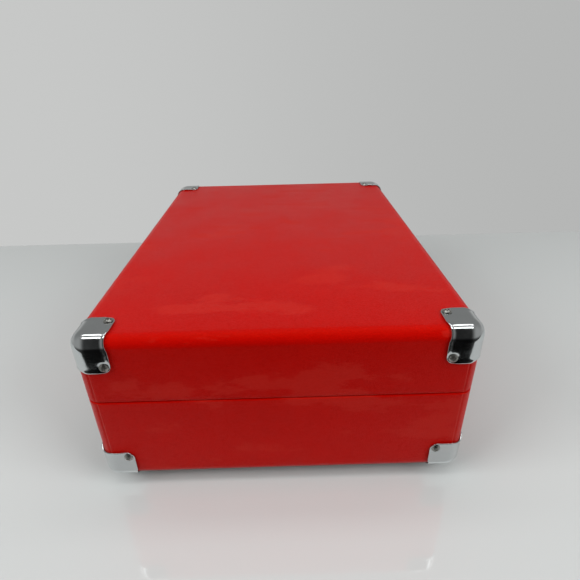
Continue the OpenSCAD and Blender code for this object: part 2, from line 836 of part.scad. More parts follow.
// Knob with a skirt and a shaft that goes down into its pot. The pointer is at turn
module knob(y, r, h, turn) {
    color("black") translate([knob_x, y, deck_z]) {
        difference() {
            union() {
                translate([0, 0, 0.5]) cylinder(r = r, h = 2);
                translate([0, 0, 0.5]) cylinder(r1 = r - 1.5, r2 = r - 2.2, h = h);
            }
            rotate(turn) translate([-0.5, r - 5, h - 0.2]) cube([1, 5, 2]);
        }
        translate([0, 0, -6]) cylinder(r = 3, h = 7);
    }
}

// Pot and switch bodies clamped under the deck
module control_pots() {
    color("darkgreen") translate([knob_x, 0, deck_z - deck_t - 0.02]) {
        for (y = [volume_y, function_y]) translate([0, y, 0]) difference() {
            translate([0, 0, -6.5]) {
                plate(16, 16, 6.5, 1.5);
                cylinder(r = 4, h = 7.8);
            }
            translate([0, 0, -4.5]) cylinder(r = 3.05, h = 10);
        }
        for (y = [speed_y, stop_y]) translate([0, y, 0]) difference() {
            translate([0, 0, -6]) plate(12, 26, 6, 1);
            translate([0, 0, -2.4]) plate(3.4, 19, 4, 1.5);
        }
    }
}

// Lens of the power light
module power_light() {
    color("red") translate([light_x, light_y, deck_z - 6]) {
        cylinder(r = 1.5, h = 6.4);
        translate([0, 0, 6.4]) cylinder(r1 = 1.5, r2 = 0.9, h = 0.6);
        cylinder(r = 2.4, h = 3.4);
    }
}

// Small slide button in its slot
module slide_button(y, start) {
    color("gainsboro") translate([knob_x, y + start, deck_z]) {
        translate([0, 0, -4.2]) plate(2.4, 5, 5, 1);
        translate([0, 0, 0.4]) plate(6, 7, 2, 1.5);
        translate([0, 0, 2]) plate(4, 2, 1.6, 0.8);
    }
}

// ---------- electronics ----------

module circuit_board() {
    color("green") translate([board_x, board_y, board_z]) difference() {
        plate(110, 44, 1.6, 2);
        for (x = [-1, 1], y = [-1, 1]) translate([x * 50, y * 17, -1]) cylinder(r = 1.6, h = 4);
    }
}

// Spacers, capacitors, connectors, chips and the wireless module
module board_parts() {
    color("dimgray") translate([board_x, board_y, board_z]) {
        for (x = [-1, 1], y = [-1, 1]) translate([x * 50, y * 17, -6.98]) cylinder(r = 3, h = 6.96);
        translate([0, 0, 1.62]) {
            for (x = [-40, -26]) translate([x, 6, 0]) cylinder(r = 5, h = 14);
            for (x = [-44, -34, -24]) translate([x, -14, 0]) cylinder(r = 3, h = 9);
            translate([-10, -8, 0]) cube([14, 9, 2.4]);
            translate([12, -10, 0]) cube([20, 14, 2.5]);
            translate([38, -12, 0]) cube([6, 20, 7]);
            translate([-12, -20, 0]) cube([18, 6, 7]);
            translate([-16, 6, 0]) cube([12, 4, 12]);
        }
    }
}

module jack_plate() {
    color("black") on_rear(jack_x, jack_z) difference() {
        plate(76, 24, jack_plate_t, 3);
        for (x = phono_x) translate([x, 0, -1]) cylinder(r = 4.6, h = 4);
        for (x = socket_x) translate([x, 0, -1]) cylinder(r = 3.7, h = 4);
        for (x = [-1, 1]) translate([x * jack_screw_x, 0, -1]) cylinder(r = small_screw[2] + 0.15, h = 4);
    }
}

// Two phono sockets, one aux socket and one power socket, seen through the jack plate
module rear_jacks() {
    color("gold") on_rear(jack_x, jack_z) {
        for (x = phono_x) translate([x, 0, 0]) difference() {
            union() {
                translate([0, 0, -14]) cylinder(r = 5.2, h = 13.98);
                translate([0, 0, -1]) cylinder(r = 4.4, h = jack_plate_t + 1);
                cylinder(r = 4.15, h = phono_reach);
            }
            translate([0, 0, 1]) cylinder(r = 1.6, h = 20);
        }
        for (i = [0, 1]) translate([socket_x[i], 0, 0]) difference() {
            union() {
                translate([0, 0, -14]) cylinder(r = 5, h = 13.98);
                translate([0, 0, -1]) cylinder(r = 3.4, h = jack_plate_t + 1.6);
            }
            translate([0, 0, -11]) cylinder(r = socket_r[i], h = 20);
        }
    }
}

place() base_case();
place() bottom_panel();
place() rubber_feet();
place() base_screws();
place() lid_case();
place() lid_liner();
place() lid_screws();
place() at_corner(-1, -1, 1) cap();  // lid_corner_front_left
place() at_corner(1, -1, 1) cap();  // lid_corner_front_right
place() at_corner(-1, 1, 1) cap();  // lid_corner_rear_left
place() at_corner(1, 1, 1) cap();  // lid_corner_rear_right
place() at_corner(-1, -1, -1) cap();  // base_corner_front_left
place() at_corner(1, -1, -1) cap();  // base_corner_front_right
place() at_corner(-1, 1, -1) cap();  // base_corner_rear_left
place() at_corner(1, 1, -1) cap();  // base_corner_rear_right
place() hinge_base_leaves();
place() hinge_lid_leaves();
place() hinge_pins();
place() handle_grip();
place() handle_brackets();
place() handle_pins();
place() latch_base_plates();
place() latch_side(-1) latch_slider();  // latch_slider_left
place() latch_side(1) latch_slider();  // latch_slider_right
place() latch_lid_plates();
place() latch_side(-1) latch_hasp();  // latch_hasp_left
place() latch_side(1) latch_hasp();  // latch_hasp_right
place() latch_pins();
place() speaker_grille(-1);  // speaker_grille_left
place() speaker_grille(1);  // speaker_grille_right
place() speaker_frames();
place() speaker_cones();
place() deck_plate();
place() deck_screws();
place() platter();
place() slip_mat();
place() spindle();
place() platter_clip();
place() drive_belt();
place() motor();
place() motor_pulley();
place() adapter_45();
place() tonearm_base();
place() tonearm_yoke();
place() tonearm_tube();
place() cartridge();
place() arm_rest();
place() arm_clip();
place() cue_lever();
place() cue_platform();
place() knob(volume_y, 10, 12, 140);  // volume_knob
place() knob(function_y, 8.5, 11, 30);  // function_knob
place() slide_button(speed_y, -5);  // speed_switch
place() slide_button(stop_y, -5);  // auto_stop_switch
place() control_pots();
place() power_light();
place() circuit_board();
place() board_parts();
place() jack_plate();
place() rear_jacks();
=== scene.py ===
"""Looks of the suitcase record player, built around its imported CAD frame."""
import json
import math
import random

import bmesh
import bpy
from mathutils import Matrix, Vector, noise

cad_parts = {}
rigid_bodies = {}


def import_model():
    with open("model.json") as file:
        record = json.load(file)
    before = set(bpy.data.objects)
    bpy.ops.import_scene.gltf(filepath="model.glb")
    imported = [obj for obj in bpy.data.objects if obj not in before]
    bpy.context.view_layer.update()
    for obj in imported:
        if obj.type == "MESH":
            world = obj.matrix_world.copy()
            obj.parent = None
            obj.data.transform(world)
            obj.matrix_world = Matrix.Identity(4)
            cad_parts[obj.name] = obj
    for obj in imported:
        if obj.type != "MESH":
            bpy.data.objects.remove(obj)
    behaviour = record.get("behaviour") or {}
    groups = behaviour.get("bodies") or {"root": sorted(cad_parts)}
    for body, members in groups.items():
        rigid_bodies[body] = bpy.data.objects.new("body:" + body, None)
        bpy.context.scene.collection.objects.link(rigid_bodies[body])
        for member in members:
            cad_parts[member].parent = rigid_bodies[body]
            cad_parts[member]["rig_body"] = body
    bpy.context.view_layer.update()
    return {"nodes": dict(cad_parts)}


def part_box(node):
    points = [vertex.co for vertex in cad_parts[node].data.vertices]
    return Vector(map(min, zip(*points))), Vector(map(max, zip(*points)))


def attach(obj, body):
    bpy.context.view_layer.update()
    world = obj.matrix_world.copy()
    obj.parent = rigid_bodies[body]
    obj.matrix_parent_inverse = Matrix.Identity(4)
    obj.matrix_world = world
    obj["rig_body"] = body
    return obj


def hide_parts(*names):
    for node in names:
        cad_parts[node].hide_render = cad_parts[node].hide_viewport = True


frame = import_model()

MM = 0.001
WELD = 0.002 * MM
TINY = 1e-9
SHARP = 38  # degrees
nodes = frame["nodes"]


# ------------------------ measures taken from the frame

base_lo, base_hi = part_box("base_case")
lid_lo, lid_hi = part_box("lid_case")
case_mid = (base_lo + lid_hi) / 2
case_half = (lid_hi - base_lo) / 2
liner_lo, liner_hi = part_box("lid_liner")
wall = liner_lo.x - lid_lo.x
top_board = lid_hi.z - liner_hi.z
deck_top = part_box("arm_rest")[0].z
# part.scad's estimates: the radius along the top and bottom edges, and that of the upright ones
edge_r = 8 * MM
corner_r = 11 * MM


# ------------------------ node trees

def node(tree, kind, inputs=None, output=0, **settings):
    """A new shader node with its settings and inputs, given as its output socket."""
    made = tree.nodes.new(kind)
    for key, value in settings.items():
        setattr(made, key, value)
    for key, value in (inputs or {}).items():
        if isinstance(value, bpy.types.NodeSocket):
            tree.links.new(value, made.inputs[key])
        else:
            made.inputs[key].default_value = value
    return made.outputs[output]


def math_node(tree, operation, a, b=0.0):
    return node(tree, "ShaderNodeMath", {0: a, 1: b}, operation=operation)


def times(tree, a, b):
    return math_node(tree, "MULTIPLY", a, b)


def plus(tree, a, b):
    return math_node(tree, "ADD", a, b)


def object_at(tree, stretch=(1, 1, 1)):
    """Object coordinates, which stay with the piece, stretched along the axes."""
    at = node(tree, "ShaderNodeTexCoord", output="Object")
    if tuple(stretch) == (1, 1, 1):
        return at
    return node(tree, "ShaderNodeMapping", {"Vector": at, "Scale": stretch})


def noise_at(tree, at, size, detail=3.0, roughness=0.55, distortion=0.0):
    """Noise from 0 to 1 whose features are about size across."""
    inputs = {"Vector": at, "Scale": 1 / size, "Detail": detail, "Roughness": roughness, "Distortion": distortion}
    return node(tree, "ShaderNodeTexNoise", inputs)


def cells_at(tree, at, size, feature="DISTANCE_TO_EDGE"):
    """Voronoi distance for cells that are about size across."""
    inputs = {"Vector": at, "Scale": 1 / size}
    return node(tree, "ShaderNodeTexVoronoi", inputs, output="Distance", feature=feature)


def remap(tree, value, low, high, to_low=0.0, to_high=1.0):
    """Carries low..high to to_low..to_high, held at both ends."""
    inputs = {"Value": value, "From Min": low, "From Max": high, "To Min": to_low, "To Max": to_high}
    return node(tree, "ShaderNodeMapRange", inputs, interpolation_type="SMOOTHSTEP")


def noise_to(tree, value, low, high):
    """Carries the range where most of a noise's values lie to low..high."""
    return remap(tree, value, 0.3, 0.7, low, high)


def blend_colours(tree, factor, a, b):
    """Colour a where factor is 0 and b where it is 1."""
    inputs = {0: factor, 6: (*a, 1) if isinstance(a, tuple) else a, 7: (*b, 1) if isinstance(b, tuple) else b}
    return node(tree, "ShaderNodeMix", inputs, output=2, data_type="RGBA")


def bump(tree, height, depth, normal=None):
    """Normal of a surface whose relief is height, from 0 to 1, times depth."""
    inputs = {"Height": height, "Distance": depth, "Strength": 1.0}
    if normal is not None:
        inputs["Normal"] = normal
    return node(tree, "ShaderNodeBump", inputs, output="Normal")


def new_material(name, **plain):
    """A Principled material with plain values, and its tree and shader."""
    made = bpy.data.materials.new(name)
    made.use_nodes = True
    tree = made.node_tree
    shader = tree.nodes["Principled BSDF"]
    for key, value in plain.items():
        socket = shader.inputs[key.replace("_", " ")]
        socket.default_value = (*value, 1) if isinstance(value, tuple) and len(value) == 3 else value
    return made, tree, shader


def drive(tree, shader, **sockets):
    """Links sockets into the shader's inputs."""
    for key, value in sockets.items():
        tree.links.new(value, shader.inputs[key.replace("_", " ")])


def shade(colour, amount):
    return tuple(channel * amount for channel in colour)


def shaded(tree, factor, colour, low, high):
    """The colour times low where factor is 0, and times high where it is 1."""
    return blend_colours(tree, factor, shade(colour, low), shade(colour, high))


# ------------------------ materials

def leatherette(name, colour, grain=0.95 * MM):
    """Pebbled vinyl cloth: cells with creases between them, painted darker as shade, uneven sheen and faint handling
    marks, whose paler colour is partly a painted sheen.
    """
    made, tree, shader = new_material(name, Specular_IOR_Level=0.18, Specular_Tint=(1.0, 0.12, 0.04))
    at = object_at(tree)
    wobble = noise_at(tree, at, 4 * MM, 2.0)
    shift = node(tree, "ShaderNodeVectorMath", {0: wobble, 3: 0.8 * MM}, operation="SCALE")
    moved = node(tree, "ShaderNodeVectorMath", {0: at, 1: shift}, operation="ADD")
    pebbles = remap(tree, cells_at(tree, moved, grain), 0.0, 0.32)
    small = noise_at(tree, at, 0.35 * MM, 2.0)
    relief = plus(tree, times(tree, pebbles, 0.75), times(tree, small, 0.25))
    patches = noise_at(tree, at, 55 * MM, 4.0, 0.6)
    marks = remap(tree, noise_at(tree, object_at(tree, (1, 0.35, 1)), 26 * MM, 5.0, 0.6), 0.565, 0.61)
    tone = shaded(tree, patches, colour, 0.88, 1.1)
    # Painted shade: the creases between the pebbles are darkened towards 0.55 of the colour
    tone = blend_colours(tree, plus(tree, times(tree, pebbles, 0.5), 0.5), shade(colour, 0.55), tone)
    # The handling marks are rougher and painted paler and greyer; that paler colour is partly a painted sheen
    mark_and_sheen_tone = (colour[0] * 0.95 + 0.01, colour[1] + 0.018, colour[2] + 0.013)
    tone = blend_colours(tree, times(tree, marks, 0.4), tone, mark_and_sheen_tone)
    rough = plus(tree, noise_to(tree, patches, 0.3, 0.4), times(tree, marks, 0.08))
    drive(tree, shader, Base_Color=tone, Roughness=rough, Normal=bump(tree, relief, 0.1 * MM))
    return made


def chrome(name, colour, smooth=0.07):
    """Plated sheet: bright, with faint waves from pressing, fingermarks and fine scratches."""
    made, tree, shader = new_material(name, Metallic=1.0, Roughness=smooth)
    at = object_at(tree)
    smears = noise_at(tree, at, 9 * MM, 4.0, 0.6)
    specks = remap(tree, noise_at(tree, at, 0.8 * MM, 2.0), 0.62, 0.75)
    waves = noise_at(tree, at, 7 * MM, 1.0)
    scratches = remap(tree, noise_at(tree, object_at(tree, (1, 14, 3)), 3 * MM, 3.0), 0.5, 0.8)
    rough = plus(tree, remap(tree, smears, 0.35, 0.7, smooth, smooth + 0.09), times(tree, specks, 0.06))
    tone = shaded(tree, smears, colour, 0.93, 1)
    normal = bump(tree, waves, 0.05 * MM)
    drive(tree, shader, Base_Color=tone, Roughness=rough, Normal=bump(tree, scratches, 0.004 * MM, normal))
    return made


def turned_metal(name, colour, smooth=0.25, along=(1, 1, 12)):
    """Plain metal with drawn or turned lines."""
    made, tree, shader = new_material(name, Metallic=1.0, Roughness=smooth)
    lines = noise_at(tree, object_at(tree, along), 0.9 * MM, 3.0)
    stains = noise_at(tree, object_at(tree), 6 * MM, 3.0)
    tone = shaded(tree, stains, colour, 0.8, 1.05)
    rough = noise_to(tree, lines, smooth, smooth + 0.15)
    drive(tree, shader, Base_Color=tone, Roughness=rough, Normal=bump(tree, lines, 0.01 * MM))
    return made


def moulded(name, colour, roughness=0.45, texture=0.5 * MM, depth=0.02 * MM, coat=0.0):
    """Moulded plastic with a spark-eroded texture and slightly uneven gloss."""
    made, tree, shader = new_material(name, Roughness=roughness, Coat_Weight=coat, Coat_Roughness=0.12)
    at = object_at(tree)
    grain = noise_at(tree, at, texture, 3.0, 0.6)
    flow = noise_at(tree, at, 25 * MM, 3.0)
    tone = shaded(tree, flow, colour, 0.88, 1.12)
    rough = noise_to(tree, flow, max(roughness - 0.05, 0.04), roughness + 0.07)
    drive(tree, shader, Base_Color=tone, Roughness=rough, Normal=bump(tree, grain, depth))
    return made


def rubber(name, colour):
    """Matt rubber with dust in its pores."""
    made, tree, shader = new_material(name, Roughness=0.75, Specular_IOR_Level=0.35)
    at = object_at(tree)
    dust = remap(tree, noise_at(tree, at, 5 * MM, 5.0, 0.7), 0.5, 0.8)
    pores = noise_at(tree, at, 0.4 * MM, 3.0)
    tone = blend_colours(tree, times(tree, dust, 0.35), colour, (0.12, 0.115, 0.11))
    drive(tree, shader, Base_Color=tone, Normal=bump(tree, pores, 0.05 * MM))
    return made


def woven(name, colour, pitch=0.7 * MM):
    """Plain-weave cloth glued to card."""
    made, tree, shader = new_material(name, Roughness=0.9, Sheen_Weight=0.25, Sheen_Roughness=0.5)
    at = object_at(tree)
    threads = []
    scale = 1 / pitch / 6.283
    for axis in ("X", "Y", "Z"):
        inputs = {"Vector": at, "Scale": scale, "Distortion": 0.3, "Detail": 1.0, "Detail Scale": 3.0}
        threads.append(node(tree, "ShaderNodeTexWave", inputs, output="Fac", bands_direction=axis))
    weave = math_node(tree, "MAXIMUM", math_node(tree, "MAXIMUM", threads[0], threads[1]), threads[2])
    worn = noise_at(tree, at, 20 * MM, 4.0)
    tone = shaded(tree, worn, colour, 0.8, 1.2)
    tone = blend_colours(tree, times(tree, weave, 0.5), tone, shade(colour, 1.7))
    drive(tree, shader, Base_Color=tone, Normal=bump(tree, weave, 0.06 * MM))
    return made


def felt(name, colour):
    """Pressed felt: short fibres that lie every way."""
    made, tree, shader = new_material(name, Roughness=0.95, Specular_IOR_Level=0.2,
                                      Sheen_Weight=0.12, Sheen_Roughness=0.5)
    at = object_at(tree)
    fibres = noise_at(tree, object_at(tree, (1, 1, 0.3)), 0.45 * MM, 6.0, 0.75, 1.5)
    tufts = noise_at(tree, at, 3 * MM, 4.0)
    threads = remap(tree, fibres, 0.35, 0.65)
    tone = shaded(tree, threads, colour, 0.35, 1.9)
    tone = blend_colours(tree, times(tree, tufts, 0.4), tone, shade(colour, 0.7))
    drive(tree, shader, Base_Color=tone, Normal=bump(tree, fibres, 0.25 * MM))
    return made


def paper(name, colour):
    """Pressed paper pulp."""
    made, tree, shader = new_material(name, Roughness=0.9)
    fibres = noise_at(tree, object_at(tree), 0.6 * MM, 5.0, 0.7, 0.8)
    tone = shaded(tree, fibres, colour, 0.7, 1.4)
    drive(tree, shader, Base_Color=tone, Normal=bump(tree, fibres, 0.06 * MM))
    return made


def board(name, colour):
    """Hardboard or raw wood with its fibres along X."""
    made, tree, shader = new_material(name, Roughness=0.7)
    fibres = noise_at(tree, object_at(tree, (1, 6, 6)), 5 * MM, 6.0, 0.65)
    flecks = noise_at(tree, object_at(tree), 0.5 * MM, 3.0)
    tone = shaded(tree, fibres, colour, 0.6, 1.35)
    drive(tree, shader, Base_Color=tone, Normal=bump(tree, flecks, 0.03 * MM))
    return made


def laminate(name):
    """Circuit board: solder resist over copper tracks, with tinned pads."""
    made, tree, shader = new_material(name, Roughness=0.35)
    at = object_at(tree)
    inputs = {"Vector": at, "Color1": (0, 0, 0, 1), "Color2": (1, 1, 1, 1), "Mortar": (0, 0, 0, 1), "Scale": 110.0,
              "Mortar Size": 0.16, "Brick Width": 0.9, "Row Height": 0.22, "Bias": 0.0}
    tracks = node(tree, "ShaderNodeTexBrick", inputs, output="Color")
    pads = remap(tree, cells_at(tree, at, 5 * MM, "F1"), 0.16, 0.12)
    tone = blend_colours(tree, tracks, (0.006, 0.07, 0.025), (0.012, 0.15, 0.05))
    tone = blend_colours(tree, pads, tone, (0.6, 0.6, 0.58))
    drive(tree, shader, Base_Color=tone, Metallic=pads, Normal=bump(tree, tracks, 0.03 * MM))
    return made


def lens(name, colour):
    """Clear coloured plastic over a lamp."""
    made, tree, shader = new_material(name, Roughness=0.12, Transmission_Weight=0.6, IOR=1.49, Coat_Weight=0.5)
    swirl = noise_at(tree, object_at(tree), 1.5 * MM, 2.0)
    drive(tree, shader, Base_Color=shaded(tree, swirl, colour, 0.8, 1))
    return made


RED = (0.49, 0.0022, 0.0006)
red_lid = leatherette("red_leatherette_lid", RED)
red_base = leatherette("red_leatherette_base", RED)
red_handle = leatherette("red_leatherette_handle", RED, 0.8 * MM)
# A lighter red for the overlap seams: a painted highlight along the seam's step
red_seam_highlight = leatherette("red_seam_highlight_edge", (0.54, 0.016, 0.006))
cap_chrome = chrome("cap_chrome", (0.60, 0.62, 0.625))
plate_chrome = chrome("plate_chrome", (0.62, 0.63, 0.635), 0.12)
screw_steel = chrome("screw_steel", (0.35, 0.345, 0.32), 0.26)
plain_steel = turned_metal("plain_steel", (0.6, 0.6, 0.6))
dark_steel = turned_metal("dark_steel", (0.2, 0.2, 0.21), 0.35)
zinc = turned_metal("zinc", (0.5, 0.51, 0.53), 0.4, (3, 3, 3))
brass = turned_metal("brass", (0.78, 0.56, 0.24), 0.2)
gold = turned_metal("gold_plate", (0.9, 0.68, 0.3), 0.14)
wood = board("raw_board", (0.33, 0.22, 0.13))
hardboard = board("dark_hardboard", (0.085, 0.062, 0.048))
grille_paint = moulded("grille_paint", (0.02, 0.02, 0.022), 0.35, 0.35 * MM, 0.02 * MM)
deck_black = moulded("deck_black", (0.026, 0.026, 0.028), 0.45, 0.8 * MM, 0.12 * MM)
satin_black = moulded("satin_black", (0.022, 0.022, 0.024), 0.38, 0.4 * MM, 0.012 * MM)
gloss_black = moulded("gloss_black", (0.015, 0.015, 0.016), 0.16, 0.9 * MM, 0.004 * MM, 0.5)
grey_plastic = moulded("grey_plastic", (0.5, 0.5, 0.5), 0.35, 0.5 * MM, 0.01 * MM)
red_plastic = moulded("red_plastic", (0.45, 0.02, 0.015), 0.25, 0.6 * MM, 0.008 * MM, 0.3)
pot_plastic = moulded("pot_plastic", (0.02, 0.022, 0.024), 0.4)
baffle_cloth = woven("baffle_cloth", (0.012, 0.012, 0.013), 0.5 * MM)
thread_red = moulded("thread_red", (0.33, 0.012, 0.008), 0.6, 0.3 * MM, 0.05 * MM)
white_paint = moulded("white_paint", (0.7, 0.7, 0.68), 0.4, 0.3 * MM, 0.005 * MM)
liner_cloth = woven("liner_cloth", (0.028, 0.028, 0.031))
mat_felt = felt("mat_felt", (0.035, 0.035, 0.038))
cone_paper = paper("cone_paper", (0.03, 0.028, 0.026))
board_green = laminate("board_green")
lamp_red = lens("lamp_red", (0.8, 0.02, 0.01))
black_rubber = rubber("black_rubber", (0.022, 0.022, 0.023))


# ------------------------ mesh helpers

def add_object(name, data):
    """A new object in the scene."""
    made = bpy.data.objects.new(name, data)
    bpy.context.scene.collection.objects.link(made)
    return made


def mesh_from(name, work):
    """A mesh made from a bmesh, which is freed."""
    mesh = bpy.data.meshes.new(name)
    work.to_mesh(mesh)
    work.free()
    return mesh


def finish_mesh(mesh, sharp=SHARP):
    """Smooth faces, with edges sharper than the angle kept where one is given."""
    for face in mesh.polygons:
        face.use_smooth = True
    if sharp:
        mesh.set_sharp_from_angle(angle=math.radians(sharp))


def add_piece(name, work, body, materials, replaced=(), sharp=SHARP):
    """Turns a bmesh into a piece that rides on a body and stands for CAD nodes.

    With no sharp angle it is an open sheet, whose faces already look outwards.
    """
    if sharp:
        bmesh.ops.recalc_face_normals(work, faces=work.faces)
    mesh = mesh_from(name, work)
    for material in materials if isinstance(materials, list) else [materials]:
        mesh.materials.append(material)
    finish_mesh(mesh, sharp)
    piece = add_object(name, mesh)
    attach(piece, body)
    if replaced:
        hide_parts(*replaced)
    return piece


def stand_for(name, ending, work, materials, sharp=SHARP):
    """A piece in place of a CAD node, on the node's body."""
    return add_piece(name + ending, work, nodes[name]["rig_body"], materials, [name], sharp)


def modifier(piece, kind, **settings):
    made = piece.modifiers.new(kind.title(), kind)
    for key, value in settings.items():
        setattr(made, key, value)


def welded(name):
    """A CAD node's mesh, its doubled points joined."""
    work = bmesh.new()
    work.from_mesh(nodes[name].data)
    bmesh.ops.remove_doubles(work, verts=work.verts, dist=WELD)
    return work


def rounded_copy(name, material, width):
    """Stands for a CAD node with a copy whose sharp edges are rounded to that width."""
    flat, crease = math.radians(0.6), math.radians(32)
    work = welded(name)
    bmesh.ops.dissolve_limit(work, angle_limit=flat, verts=work.verts, edges=work.edges)
    edges = [e for e in work.edges if e.is_manifold and e.calc_face_angle(0) > crease]
    bmesh.ops.bevel(work, geom=edges, offset=width, segments=2, profile=0.7, affect="EDGES", clamp_overlap=True)
    bmesh.ops.triangulate(work, faces=[f for f in work.faces if len(f.verts) > 4])
    modifier(stand_for(name, "_rounded", work, material), "WEIGHTED_NORMAL", keep_sharp=True)


def loose_parts(name):
    """The separate solids of a CAD node, each as a list of points."""
    work = welded(name)
    seen = set()
    parts = []
    for start in work.verts:
        if start in seen:
            continue
        seen.add(start)
        stack, points = [start], []
        while stack:
            vert = stack.pop()
            points.append(vert.co.copy())
            for edge in vert.link_edges:
                other = edge.other_vert(vert)
                if other not in seen:
                    seen.add(other)
                    stack.append(other)
        parts.append(points)
    work.free()
    return parts


def corners_of(points):
    """Lowest and highest corner of the box round some points."""
    return Vector(map(min, zip(*points))), Vector(map(max, zip(*points)))


def ring_strip(work, first, second):
    """Faces between two closed rings of the same count, whose points may repeat."""
    for i in range(len(first)):
        j = (i + 1) % len(first)
        corners = list(dict.fromkeys([first[i], first[j], second[j], second[i]]))
        if len(corners) > 2:
            work.faces.new(corners)


def ring_strips(work, rings):
    """Faces between each ring and the next."""
    for first, second in zip(rings, rings[1:]):
        ring_strip(work, first, second)


def round_angles(count):
    """Angles of that many points round a circle."""
    return [2 * math.pi * k / count for k in range(count)]


def plan_middle(lo, hi):
    """The middle of a box as seen from above, at z = 0."""
    return Vector(((lo.x + hi.x) / 2, (lo.y + hi.y) / 2, 0))


def smoothstep(value, low, high):
    t = min(max((value - low) / (high - low), 0.0), 1.0)
    return t * t * (3 - 2 * t)


# ------------------------ the case's rounded surface

def clamp(value, limit):
    return min(max(value, -limit), limit)


def case_point(p, out=0.0):
    """Carries a point of the case's sharp box to its rounded surface, moved outwards by out."""
    x, y, z = p - case_mid
    near = Vector((clamp(x, case_half.x - corner_r), clamp(y, case_half.y - corner_r)))
    away = Vector((x, y)) - near
    reach = max(abs(away.x), abs(away.y))
    depth = case_half.z - abs(z)
    flat_r = corner_r - edge_r
    height = abs(z)
    if depth < TINY and reach <= flat_r:
        radial = reach
        height = case_half.z + out
    else:
        if depth < TINY:
            angle = math.radians(45) * (reach - flat_r) / edge_r
        else:
            angle = math.radians(45) * (1 + min(depth / edge_r, 1.0))
        radial = flat_r + (edge_r + out) * math.sin(angle)
        if depth < edge_r:
            height = case_half.z - edge_r + (edge_r + out) * math.cos(angle)
    if away.length > TINY:
        near = near + away.normalized() * radial
    return case_mid + Vector((near.x, near.y, math.copysign(height, z)))


def grid_lines(low, high, fine):
    """Grid lines from low to high about GRID apart, with the fine ones put between them."""
    count = max(round((high - low) / GRID), 1)
    even = [low + (high - low) * i / count for i in range(count + 1)]
    keep = [v for v in even if all(abs(v - f) > GRID * 0.35 for f in fine) or v in (low, high)]
    return sorted(set(keep) | set(fine))


# ------------------------ leatherette case halves

GRID = 3.6 * MM
# The leatherette's overlap on the two ends: how far in from the upright edges, its width and its step
SEAM_IN = 8.5 * MM
SEAM_W = 0.7 * MM
SEAM_STEP = 0.4 * MM
# The rolled lip at the split, and how far the leatherette turns in behind it
LIP = 0.9 * MM
WRAP = 12 * MM
# Places of a case half's further materials; the cloth on CUT faces is only on the base
# The first is the lighter red of the seams, a painted highlight
SEAM_HIGHLIGHT, BARE, CUT = 1, 2, 3


def skin_wave(p):
    """How far the covered board stands proud here: slow waves left by the glue and the sheet's overlap."""
    wave = 0.07 * MM * noise.noise(p / (38 * MM)) + 0.03 * MM * noise.noise(p / (11 * MM))
    x, y = abs(p.x - case_mid.x), abs(p.y - case_mid.y)
    if x > case_half.x - 0.5 * MM:
        strip = smoothstep(y, case_half.y - SEAM_IN - SEAM_W / 2, case_half.y - SEAM_IN + SEAM_W / 2)
        strip *= 1 - smoothstep(y, case_half.y - 5 * MM, case_half.y - 1 * MM)
        wave -= SEAM_STEP * strip
    return wave


